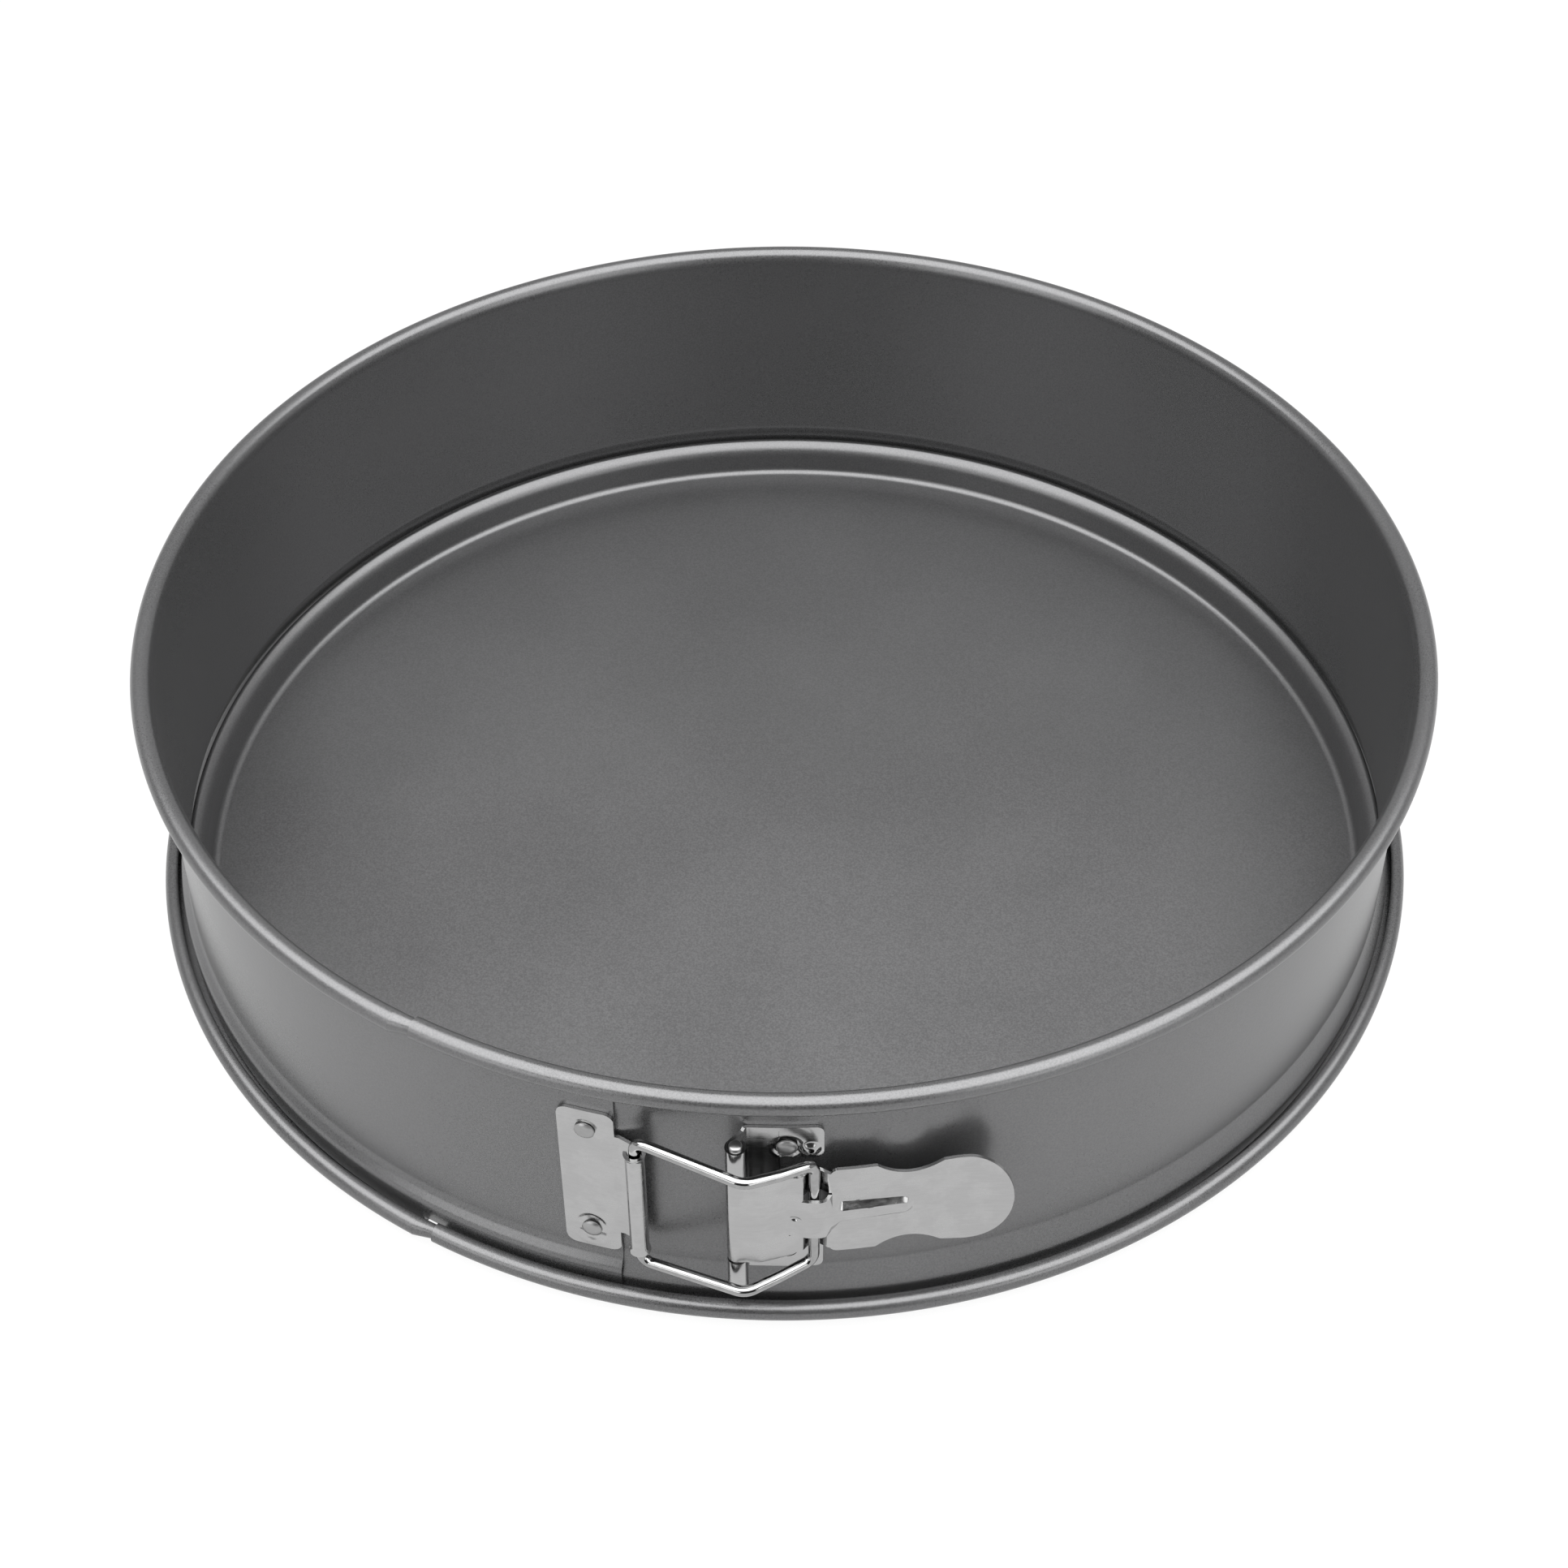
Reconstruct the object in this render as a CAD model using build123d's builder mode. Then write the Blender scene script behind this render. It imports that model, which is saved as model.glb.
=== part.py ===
from build123d import *
from math import asin, atan2, cos, degrees, hypot, radians, sin, sqrt
import os

half_turn = 180.0
quarter_turn = 90.0

# Band, one strip of sheet steel rolled into a ring with lapped ends
inner_radius = 140.0
band_sheet = 0.5
band_height = 67.5
band_foot = 2.2
bead_radius = 2.3
throat_radius = 5.0
throat_turn = 30.0
top_curl_end = -108.0
flare_top = 13.9
flare_out = 2.15
flare_waist = 7.4
groove_out = 1.75
groove_bend = 0.8
hem_edge = 0.95
hem_fold = 0.3
foot_bead_out = 4.67
foot_curl_end = 107.0
wall_bend = 4.0
flare_bend = 2.4

# Lap, angles counted from the front of the tin and positive to the right
lap_gap = 0.15
inner_end_angle = -30.3
full_bead_angle = -32.2
outer_end_across = -33.3
spigot_angle = -27.5
nested_curl_end = -80.0
tuck_out = 2.0
tuck_height = 5.0

# Base plate, a shallow dish with a rolled rim
base_sheet = 0.6
base_rim_radius = 1.05
base_rim_inset = 0.6
base_rim_height = 7.85
base_rim_end = -125.0
shoulder_radius = 5.0
shoulder_top = 60.0
side_lean = 10.0
floor_bend = 2.2

# Clip, its points given as the distance across and the stand-off from the band's inside
clip_foot_gap = 0.7
clip_head_gap = 6.5
clip_sheet = 0.7
seat_gap = 0.05
pin_place = (-9.8, 5.73)
tunnel_place = (5.3, 4.697)
keeper_place = (-29.4, 4.816)
running_clearance = 0.08
wire_clearance = 0.1

# Wire link
wire_radius = 1.15
wire_keeper_share = 0.8591
wire_crown_place = (-8.3, 11.43)
wire_crown_share = 0.7864
wire_shoulder_place = (-1.4, 8.107)
wire_shoulder_share = 0.7318
wire_tunnel_share = 0.6864
wire_bend = 2.4
wire_crown_bend = 4.5
wire_slack = 0.4

# Keeper plate
keeper_left = -44.6
keeper_right = -33.4
keeper_share = 0.9727
keeper_corner = 2.2
keeper_tongue_share = 0.6909
keeper_tongue_across = -32.73
keeper_curl_end = -195.0
keeper_bend = 1.4
keeper_rivet_across = -39.16
keeper_rivet_share = 0.7091
keeper_dish_radius = 2.9
keeper_dish_depth = 0.3
dimple_radius = 2.1
dimple_depth = 0.35
dimple_rise = 3.6

# Pivot bracket
bracket_left = -7.3
bracket_right = 7.2
bracket_corner = 1.6
bracket_notch_share = 0.6
bracket_spine_right = -1.6
bracket_bend = 1.2
bracket_curl_end = 55.0
knuckle_inner_share = 0.5955
knuckle_outer_share = 0.9773
bracket_rivet_share = 0.7409
boss_offset = 4.6
boss_radius = 1.9
boss_rise = 0.45
boss_taper = 30.0

# Pin and rivets
pin_radius = 1.32
pin_end = 0.3
pin_chamfer = 0.3
shank_radius = 1.2
shank_clearance = 0.03
head_radius = 2.1
head_rim = 0.3
head_dome = 1.1
tail_radius = 1.9
tail_dome = 0.5
tail_gap = 0.03

# Lever
lever_sheet = 0.7
barrel_share = 0.5568
lever_share = 0.5818
lever_curl_end = -340.0
lever_bend_x = -5.0
lever_slope = 17.0
lever_slope_end = 3.0
lever_bend = 6.0
dish_floor_left = 4.4
dish_floor_right = 6.4
dish_bend = 0.7
dish_clearance = 0.15
strip_share = 0.5318
tunnel_share = 0.2545
tunnel_clearance = 0.2
tunnel_left = 4.0
tunnel_right = 6.7
tunnel_bend = 2.0
lance_width = 0.3
lance_left = 0.3
lance_right = 8.6
window_left = 3.2
window_right = 8.3
paddle_places = [
    (8.3, 4.289),
    (13.2, 4.156),
    (17.9, 4.017),
    (23.7, 4.112),
    (35.4, 5.182),
    (44.7, 7.868),
]
rib_radius = 4.75
rib_start_place = (8.0, 6.069)
rib_end_place = (24.6, 4.46)
rib_hollow_start = 9.3
plate_corner = 3.0
paddle_corner = 1.8
neck_share = 0.4545
neck_x = 23.7
shoulder_x = 17.5
neck_end_x = 30.4
lobe_x = 35.0
lobe_share = 0.5864
lobe_start_share = 0.5682


def off_wall(place):
    """Point in plan at a distance across and a stand-off from the band's inside."""
    return (place[0], -sqrt((inner_radius + place[1]) ** 2 - place[0] ** 2))


# Values that follow
wall_radius = inner_radius + band_sheet / 2
curl_radius = bead_radius - band_sheet / 2
top_bead_height = band_foot + band_height - bead_radius
foot_bead_height = band_foot + bead_radius
lap_offset = (band_sheet + lap_gap) / 2
throat_run = throat_radius - curl_radius
throat_height = top_bead_height - throat_run * sin(radians(throat_turn))
hem_low = band_foot + band_sheet / 2
hem_high = hem_low + 2 * hem_fold
clip_low = flare_top + clip_foot_gap
clip_high = band_foot + band_height - 2 * bead_radius - clip_head_gap
clip_height = (clip_low + clip_high) / 2
clip_half = (clip_high - clip_low) / 2
pin_axis = off_wall(pin_place)
tunnel_axis = off_wall(tunnel_place)
keeper_axis = off_wall(keeper_place)
wire_crown = off_wall(wire_crown_place)
wire_shoulder = off_wall(wire_shoulder_place)
paddle_points = [off_wall(place) for place in paddle_places]
paddle_start = paddle_points[0][0]
paddle_tip = paddle_points[-1][0]
rib_start = off_wall(rib_start_place)
rib_end = off_wall(rib_end_place)
wire_keeper_half = wire_keeper_share * clip_half
wire_crown_half = wire_crown_share * clip_half
wire_shoulder_half = wire_shoulder_share * clip_half
wire_tunnel_half = wire_tunnel_share * clip_half
keeper_half = keeper_share * clip_half
keeper_tongue_half = keeper_tongue_share * clip_half
keeper_rivet_half = keeper_rivet_share * clip_half
bracket_half = clip_half
bracket_notch_half = bracket_notch_share * clip_half
knuckle_inner_half = knuckle_inner_share * clip_half
knuckle_outer_half = knuckle_outer_share * clip_half
bracket_rivet_half = bracket_rivet_share * clip_half
pin_half = clip_half + pin_end
barrel_half = barrel_share * clip_half
lever_half = lever_share * clip_half
strip_half = strip_share * clip_half
tunnel_half = tunnel_share * clip_half
neck_half = neck_share * clip_half
lobe_half = lobe_share * clip_half
lobe_start_half = lobe_start_share * clip_half
outermost = 2 * inner_radius
barrel_left = 2 * pin_place[0]
strip_face = inner_radius + band_sheet + lap_offset
barrel_radius = pin_radius + running_clearance + lever_sheet / 2
keeper_barrel_radius = wire_radius + wire_clearance + clip_sheet / 2
keeper_mid = strip_face + seat_gap + clip_sheet / 2
bracket_mid = inner_radius + band_sheet + seat_gap + clip_sheet / 2
keeper_rivet_angle = degrees(asin(keeper_rivet_across / keeper_mid))
keeper_tongue_angle = degrees(asin(keeper_tongue_across / keeper_mid))
outer_end_angle = degrees(asin(outer_end_across / strip_face))

os.makedirs("parts", exist_ok=True)


def section_plane(angle, shift=0):
    """Upright plane through the tin's axis at an angle from the front."""
    turn = radians(angle)
    return Plane(
        origin=(0, shift, 0),
        x_dir=(sin(turn), -cos(turn), 0),
        z_dir=(-cos(turn), -sin(turn), 0),
    )


def on_ring(radius, angle, shift=0):
    """Point in plan at a radius and an angle from the front."""
    turn = radians(angle)
    return (radius * sin(turn), shift - radius * cos(turn))


def bearing(centre, point):
    """Direction in degrees from a centre to a point."""
    return degrees(atan2(point[1] - centre[1], point[0] - centre[0]))


def shared_tangent(first, first_radius, second, second_radius):
    """Ends of a line along two circles, a radius counting positive on the line's left."""
    reach = hypot(second[0] - first[0], second[1] - first[1])
    lean = radians(bearing(first, second)) - asin((second_radius - first_radius) / reach)
    return [
        (centre[0] + radius * sin(lean), centre[1] - radius * cos(lean))
        for centre, radius in ((first, first_radius), (second, second_radius))
    ]


def top_bead(plane, grow, nest, end):
    """Section of the top bead and the throat that leads into it, smaller where it nests."""
    middle = wall_radius + grow + throat_radius - nest
    with BuildSketch(plane, mode=Mode.PRIVATE) as section:
        with BuildLine():
            CenterArc((middle, throat_height), throat_radius - nest, half_turn, -throat_turn)
            CenterArc(
                (middle - throat_run * cos(radians(throat_turn)), top_bead_height),
                curl_radius - nest,
                end,
                half_turn - throat_turn - end,
            )
        trace(line_width=band_sheet)
    return section.sketch


def foot_bead(plane, grow, nest):
    """Section of the foot bead, smaller and further in where it nests."""
    with BuildSketch(plane, mode=Mode.PRIVATE) as section:
        with BuildLine():
            CenterArc(
                (inner_radius + foot_bead_out + grow - nest, foot_bead_height),
                curl_radius - nest,
                -quarter_turn,
                foot_curl_end + quarter_turn,
            )
        trace(line_width=band_sheet)
    return section.sketch


def full_wall(plane, grow):
    """Section of the wall with its flare, its groove and the hem under it."""
    with BuildSketch(plane, mode=Mode.PRIVATE) as section:
        with BuildLine():
            FilletPolyline(
                (wall_radius + grow, throat_height),
                (wall_radius + grow, flare_top),
                (wall_radius + flare_out + grow, flare_waist),
                (wall_radius + groove_out + grow, hem_high),
                (inner_radius + hem_edge + grow, hem_high),
                radius=(wall_bend, flare_bend, groove_bend),
            )
            CenterArc(
                (inner_radius + hem_edge + grow, hem_low + hem_fold),
                hem_fold,
                quarter_turn,
                half_turn,
            )
            Line(
                (inner_radius + hem_edge + grow, hem_low),
                (inner_radius + foot_bead_out + grow, hem_low),
            )
        trace(line_width=band_sheet)
    return section.sketch


def lap_wall(plane, grow):
    """Section of the outer end's wall, its flare tucked down behind the foot bead."""
    with BuildSketch(plane, mode=Mode.PRIVATE) as section:
        with BuildLine():
            FilletPolyline(
                (wall_radius + grow, throat_height),
                (wall_radius + grow, flare_top),
                (wall_radius + flare_out + grow, flare_waist),
                (wall_radius + tuck_out + grow, tuck_height),
                radius=(wall_bend, flare_bend),
            )
        trace(line_width=band_sheet)
    return section.sketch


def radial_plane(radius, angle, height, shift=0):
    """Plane on the wall whose normal points straight out."""
    turn = radians(angle)
    point = on_ring(radius, angle, shift)
    return Plane(
        origin=(point[0], point[1], height),
        x_dir=(cos(turn), sin(turn), 0),
        z_dir=(sin(turn), -cos(turn), 0),
    )


def rivet(face_radius, angle, height, grip, shift=0, tail=False):
    """Rivet with a domed head on a face and a shank going inwards."""
    seat = radial_plane(face_radius, angle, height, shift)
    across = Plane(origin=seat.origin, x_dir=seat.x_dir, z_dir=(0, 0, -1))
    with BuildPart(mode=Mode.PRIVATE) as body:
        with BuildSketch(across):
            with BuildLine():
                if tail:
                    tail_start = grip + tail_gap
                    TangentArc((0, -tail_start - tail_dome), (tail_radius, -tail_start), tangent=(1, 0))
                    Line((tail_radius, -tail_start), (shank_radius, -tail_start))
                    Line((shank_radius, -tail_start), (shank_radius, 0))
                else:
                    Line((0, -grip), (shank_radius, -grip))
                    Line((shank_radius, -grip), (shank_radius, 0))
                Line((shank_radius, 0), (head_radius, 0))
                Line((head_radius, 0), (head_radius, head_rim))
                TangentArc((0, head_dome), (head_radius, head_rim), tangent=(1, 0))
                if tail:
                    Line((0, head_dome), (0, -tail_start - tail_dome))
                else:
                    Line((0, head_dome), (0, -grip))
            make_face()
        revolve(axis=Axis(seat.origin, seat.z_dir))
    return body.part


# Base plate, a flat floor in a raised side that rounds over a shoulder into a rolled rim
rim_centre = (inner_radius + base_rim_inset, base_rim_height)
rim_mid = base_rim_radius - base_sheet / 2
shoulder_mid = shoulder_radius - base_sheet / 2
shoulder_end = half_turn - side_lean
shoulder_start = half_turn - shoulder_top
shoulder_centre = (
    rim_centre[0] - (shoulder_radius - base_rim_radius) * cos(radians(shoulder_start)),
    rim_centre[1] - (shoulder_radius - base_rim_radius) * sin(radians(shoulder_start)),
)
side_top = (
    shoulder_centre[0] + shoulder_mid * cos(radians(shoulder_end)),
    shoulder_centre[1] + shoulder_mid * sin(radians(shoulder_end)),
)
floor_mid = base_sheet / 2
floor_radius = side_top[0] - (side_top[1] - floor_mid) * sin(radians(side_lean)) / cos(radians(side_lean))
with BuildPart() as base_plate:
    with BuildSketch(Plane.XZ):
        with BuildLine():
            FilletPolyline((0, floor_mid), (floor_radius, floor_mid), side_top, radius=floor_bend)
            CenterArc(shoulder_centre, shoulder_mid, shoulder_end, shoulder_start - shoulder_end)
            CenterArc(rim_centre, rim_mid, base_rim_end, shoulder_start - base_rim_end)
        trace(line_width=base_sheet)
    revolve(axis=Axis.Z)
base_plate.part.label = "base_plate"

# Band
keeper_rivet_heights = [clip_height + keeper_rivet_half, clip_height - keeper_rivet_half]
bracket_rivet_heights = [clip_height + bracket_rivet_half, clip_height - bracket_rivet_half]
lap_axis = Axis((0, -lap_offset, 0), (0, 0, 1))
nest = 2 * lap_offset
inner_end = section_plane(inner_end_angle)
back = section_plane(half_turn, -lap_offset)
taper_start = section_plane(full_bead_angle, -lap_offset)
taper_end = section_plane(inner_end_angle, -lap_offset)
with BuildPart() as band:
    for section in (
        full_wall(inner_end, 0),
        foot_bead(inner_end, 0, 0),
        top_bead(inner_end, 0, 0, top_curl_end),
    ):
        revolve(section, axis=Axis.Z, revolution_arc=half_turn - inner_end_angle)
    for section in (
        full_wall(back, lap_offset),
        foot_bead(back, lap_offset, 0),
        top_bead(back, lap_offset, 0, top_curl_end),
    ):
        revolve(section, axis=lap_axis, revolution_arc=half_turn + full_bead_angle)
    revolve(
        lap_wall(taper_start, lap_offset),
        axis=lap_axis,
        revolution_arc=outer_end_angle - full_bead_angle,
    )
    loft(
        sections=[
            top_bead(taper_start, lap_offset, 0, top_curl_end),
            top_bead(taper_end, lap_offset, nest, nested_curl_end),
        ]
    )
    revolve(
        top_bead(taper_end, lap_offset, nest, nested_curl_end),
        axis=lap_axis,
        revolution_arc=outer_end_angle - inner_end_angle,
    )
    loft(
        sections=[
            foot_bead(taper_start, lap_offset, 0),
            foot_bead(taper_end, lap_offset, nest),
        ]
    )
    revolve(
        foot_bead(taper_end, lap_offset, nest),
        axis=lap_axis,
        revolution_arc=spigot_angle - inner_end_angle,
    )
    for height in bracket_rivet_heights:
        with BuildSketch(radial_plane(inner_radius, 0, height)):
            Circle(shank_radius + shank_clearance)
        extrude(amount=band_sheet, both=True, mode=Mode.SUBTRACT)
    for height in keeper_rivet_heights:
        with BuildSketch(
            radial_plane(strip_face + seat_gap, keeper_rivet_angle, height, -lap_offset)
        ):
            Circle(shank_radius + shank_clearance)
        extrude(amount=-band_sheet - lap_gap, mode=Mode.SUBTRACT)
band.part.label = "band"

# Keeper plate, its tongue curled over the wire
tongue_start = on_ring(keeper_mid, keeper_tongue_angle, -lap_offset)
tongue_bend = on_ring(keeper_mid + keeper_bend, keeper_tongue_angle, -lap_offset)
tongue_line = shared_tangent(tongue_bend, -keeper_bend, keeper_axis, -keeper_barrel_radius)
tongue_bearing = bearing(keeper_axis, tongue_line[1])
tongue_turn = bearing(tongue_bend, tongue_line[0]) - bearing(tongue_bend, tongue_start)
with BuildPart() as keeper_plate:
    with BuildSketch(Plane.XY.offset(clip_height - keeper_half)):
        with BuildLine():
            CenterArc(
                (0, -lap_offset),
                keeper_mid,
                2 * keeper_rivet_angle - quarter_turn,
                keeper_tongue_angle - 2 * keeper_rivet_angle,
            )
            CenterArc(tongue_bend, keeper_bend, bearing(tongue_bend, tongue_start), tongue_turn)
            Line(*tongue_line)
            CenterArc(
                keeper_axis,
                keeper_barrel_radius,
                keeper_curl_end,
                tongue_bearing - keeper_curl_end,
            )
        trace(line_width=clip_sheet)
    extrude(amount=2 * keeper_half)
    with BuildSketch(Plane.XZ):
        with Locations(((keeper_left + keeper_right) / 2, clip_height)):
            RectangleRounded(keeper_right - keeper_left, 2 * keeper_half, keeper_corner)
        with Locations((keeper_axis[0], clip_height)):
            Rectangle(2 * (keeper_axis[0] - keeper_right + keeper_corner), 2 * keeper_tongue_half)
    extrude(amount=outermost, mode=Mode.INTERSECT)
    for height in keeper_rivet_heights:
        with BuildSketch(radial_plane(strip_face, keeper_rivet_angle, height, -lap_offset)):
            Circle(shank_radius + shank_clearance)
        extrude(amount=2 * clip_sheet, mode=Mode.SUBTRACT)
    face_radius = keeper_mid + clip_sheet / 2
    with BuildSketch(
        radial_plane(face_radius, keeper_rivet_angle, keeper_rivet_heights[0], -lap_offset)
    ):
        Circle(keeper_dish_radius)
        Circle(head_radius, mode=Mode.SUBTRACT)
    extrude(amount=-keeper_dish_depth, mode=Mode.SUBTRACT)
    with BuildSketch(
        radial_plane(face_radius, keeper_rivet_angle, keeper_rivet_heights[1] + dimple_rise, -lap_offset)
    ):
        Circle(dimple_radius)
        with Locations((0, -dimple_rise)):
            Circle(keeper_dish_radius, mode=Mode.SUBTRACT)
    extrude(amount=-dimple_depth, mode=Mode.SUBTRACT)
keeper_plate.part.label = "keeper_plate"

# Pivot bracket, cut away behind the lever and curled round the pin at two knuckles
web_angle = degrees(asin(bracket_left / bracket_mid))
web_start = on_ring(bracket_mid, web_angle)
web_bend = on_ring(bracket_mid + bracket_bend, web_angle)
web_line = shared_tangent(web_bend, bracket_bend, pin_axis, barrel_radius)
web_bearing = bearing(pin_axis, web_line[1])
web_turn = bearing(web_bend, web_line[0]) - bearing(web_bend, web_start)
with BuildPart() as pivot_bracket:
    with BuildSketch(Plane.XY.offset(clip_height - bracket_half)):
        with BuildLine():
            CenterArc((0, 0), bracket_mid, web_angle - quarter_turn, -2 * web_angle)
            CenterArc(web_bend, bracket_bend, bearing(web_bend, web_start), web_turn)
            Line(*web_line)
            CenterArc(
                pin_axis,
                barrel_radius,
                web_bearing,
                2 * half_turn + bracket_curl_end - web_bearing,
            )
        trace(line_width=clip_sheet)
    extrude(amount=2 * bracket_half)
    with BuildSketch(Plane.XZ):
        with Locations(((bracket_left + bracket_right) / 2, clip_height)):
            RectangleRounded(bracket_right - bracket_left, 2 * bracket_half, bracket_corner)
        with Locations((bracket_spine_right + bracket_right, clip_height)):
            RectangleRounded(
                2 * bracket_right,
                2 * bracket_notch_half,
                bracket_corner,
                mode=Mode.SUBTRACT,
            )
        knuckle_mid = (knuckle_inner_half + knuckle_outer_half) / 2
        with Locations(
            (barrel_left / 2 + bracket_left / 2, clip_height + knuckle_mid),
            (barrel_left / 2 + bracket_left / 2, clip_height - knuckle_mid),
        ):
            Rectangle(
                bracket_left + 2 * bracket_corner - barrel_left,
                knuckle_outer_half - knuckle_inner_half,
            )
    extrude(amount=outermost, mode=Mode.INTERSECT)
    for height in bracket_rivet_heights:
        with BuildSketch(radial_plane(inner_radius, 0, height)):
            Circle(shank_radius + shank_clearance)
        extrude(amount=inner_radius, mode=Mode.SUBTRACT)
    with BuildSketch(
        radial_plane(
            bracket_mid,
            degrees(asin(boss_offset / bracket_mid)),
            bracket_rivet_heights[0],
        )
    ):
        Circle(boss_radius)
    extrude(amount=clip_sheet / 2 + boss_rise, taper=boss_taper)
pivot_bracket.part.label = "pivot_bracket"

# Lever pin
with BuildPart() as lever_pin:
    with Locations((pin_axis[0], pin_axis[1], clip_height)):
        Cylinder(pin_radius, 2 * pin_half)
    chamfer(lever_pin.edges().filter_by(GeomType.CIRCLE), pin_chamfer)
lever_pin.part.label = "lever_pin"

# Wire link, one closed loop
with BuildPart() as wire_link:
    with BuildLine() as wire_path:
        FilletPolyline(
            (*keeper_axis, clip_height + wire_slack),
            (*keeper_axis, clip_height + wire_keeper_half),
            (*wire_crown, clip_height + wire_crown_half),
            (*wire_shoulder, clip_height + wire_shoulder_half),
            (*tunnel_axis, clip_height + wire_tunnel_half),
            (*tunnel_axis, clip_height - wire_tunnel_half),
            (*wire_shoulder, clip_height - wire_shoulder_half),
            (*wire_crown, clip_height - wire_crown_half),
            (*keeper_axis, clip_height - wire_keeper_half),
            (*keeper_axis, clip_height - wire_slack),
            radius=(
                wire_bend,
                wire_crown_bend,
                wire_bend,
                wire_bend,
                wire_bend,
                wire_bend,
                wire_crown_bend,
                wire_bend,
            ),
        )
    with BuildSketch(Plane.XY.offset(clip_height + wire_slack)):
        with Locations(keeper_axis):
            Circle(wire_radius)
    sweep(path=wire_path.wires()[0])
wire_link.part.label = "wire_link"

# Lever, the tunnel lanced forward and the strips beside it dished back
slope_drop = (lever_slope_end - lever_bend_x) * sin(radians(lever_slope)) / cos(radians(lever_slope))
barrel_front = pin_axis[1] - barrel_radius
slope_end = (lever_slope_end, barrel_front + slope_drop)
slope_lance = (
    lance_left,
    barrel_front + (lance_left - lever_bend_x) * sin(radians(lever_slope)) / cos(radians(lever_slope)),
)
tunnel_front = tunnel_axis[1] - wire_radius - tunnel_clearance - lever_sheet / 2
dish_floor = tunnel_axis[1] + wire_radius + dish_clearance + lever_sheet / 2
rib_turn = bearing(rib_start, rib_end)
rib_length = hypot(rib_end[0] - rib_start[0], rib_end[1] - rib_start[1])
rib_lean = radians(rib_turn)
rib_side = (-rib_radius * sin(rib_lean), rib_radius * cos(rib_lean))
rib_hollow = rib_radius - lever_sheet
rib_hollow_rise = (rib_hollow_start - rib_start[0]) * sin(rib_lean)
rib_entry_rise = (lance_right - rib_start[0]) * sin(rib_lean)
with BuildPart() as rib:
    with BuildSketch(Plane.XY.offset(clip_height - rib_radius)):
        with BuildLine():
            front = Spline(*paddle_points)
            Polyline(
                front @ 1,
                (paddle_tip, rib_start[1] - rib_radius),
                (paddle_start, rib_start[1] - rib_radius),
                front @ 0,
            )
        make_face()
    extrude(amount=2 * rib_radius)
    with BuildSketch(
        Plane(
            origin=(rib_start[0] + rib_side[0], rib_start[1] + rib_side[1], clip_height),
            x_dir=(0, 0, 1),
            z_dir=(cos(rib_lean), sin(rib_lean), 0),
        )
    ):
        Circle(rib_radius)
    extrude(amount=rib_length, mode=Mode.INTERSECT)
with BuildPart() as lever:
    with BuildSketch(Plane.XY.offset(clip_height - lever_half)):
        with BuildLine():
            CenterArc(pin_axis, barrel_radius, lever_curl_end, -quarter_turn - lever_curl_end)
            FilletPolyline(
                (pin_axis[0], barrel_front),
                (lever_bend_x, barrel_front),
                slope_end,
                (dish_floor_left, dish_floor),
                (dish_floor_right, dish_floor),
                paddle_points[0],
                radius=(lever_bend, dish_bend, dish_bend, dish_bend),
            )
            Spline(*paddle_points)
        trace(line_width=lever_sheet)
        with Locations(paddle_points[0]):
            Circle(lever_sheet / 2)
    extrude(amount=2 * lever_half)
    with BuildSketch(Plane.XZ):
        with Locations(((lance_left + lance_right) / 2, clip_height)):
            Rectangle(lance_right - lance_left, 2 * (tunnel_half + lance_width))
    extrude(amount=outermost, mode=Mode.SUBTRACT)
    with BuildSketch(Plane.XY.offset(clip_height - tunnel_half)):
        with BuildLine():
            FilletPolyline(
                slope_lance,
                (tunnel_left, tunnel_front),
                (tunnel_right, tunnel_front),
                (lance_right, rib_start[1] + lever_sheet / 2 + rib_entry_rise),
                radius=tunnel_bend,
            )
        trace(line_width=lever_sheet)
        with Locations(slope_lance):
            Circle(lever_sheet / 2)
    extrude(amount=2 * tunnel_half)
    add(rib.part)
    with BuildSketch(
        Plane(
            origin=(
                rib_hollow_start + rib_side[0],
                rib_start[1] + rib_hollow_rise + rib_side[1],
                clip_height,
            ),
            x_dir=(0, 0, 1),
            z_dir=(cos(rib_lean), sin(rib_lean), 0),
        )
    ):
        Circle(rib_hollow)
    extrude(amount=rib_length, mode=Mode.SUBTRACT)
    with BuildSketch(Plane.XZ):
        with Locations(((window_left + window_right) / 2, clip_height)):
            Rectangle(window_right - window_left + 2 * lance_width, 2 * strip_half)
        with BuildLine():
            upper = Polyline(
                (barrel_left, clip_height),
                (barrel_left, clip_height + barrel_half),
                (window_left - plate_corner, clip_height + barrel_half),
            )
            TangentArc(upper @ 1, (window_left, clip_height + barrel_half - plate_corner), tangent=(1, 0))
            Polyline(
                (window_left, clip_height + barrel_half - plate_corner),
                (window_left, clip_height),
                (barrel_left, clip_height),
            )
        make_face()
        with BuildLine():
            Line((paddle_start, clip_height), (paddle_start, clip_height + lever_half - paddle_corner))
            TangentArc(
                (paddle_start, clip_height + lever_half - paddle_corner),
                (paddle_start + paddle_corner, clip_height + lever_half),
                tangent=(0, 1),
            )
            Line(
                (paddle_start + paddle_corner, clip_height + lever_half),
                (shoulder_x, clip_height + lever_half),
            )
            ThreePointArc(
                (shoulder_x, clip_height + lever_half),
                (neck_x, clip_height + neck_half),
                (neck_end_x, clip_height + lobe_start_half),
            )
            Line((neck_end_x, clip_height + lobe_start_half), (lobe_x, clip_height + lobe_half))
            EllipticalCenterArc(
                (lobe_x, clip_height),
                paddle_tip - lobe_x,
                lobe_half,
                start_angle=0,
                arc_size=quarter_turn,
            )
            Line((paddle_tip, clip_height), (paddle_start, clip_height))
        make_face()
        mirror(about=Plane.XZ.offset(-clip_height))
    extrude(amount=outermost, mode=Mode.INTERSECT)
lever.part.label = "lever"

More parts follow.
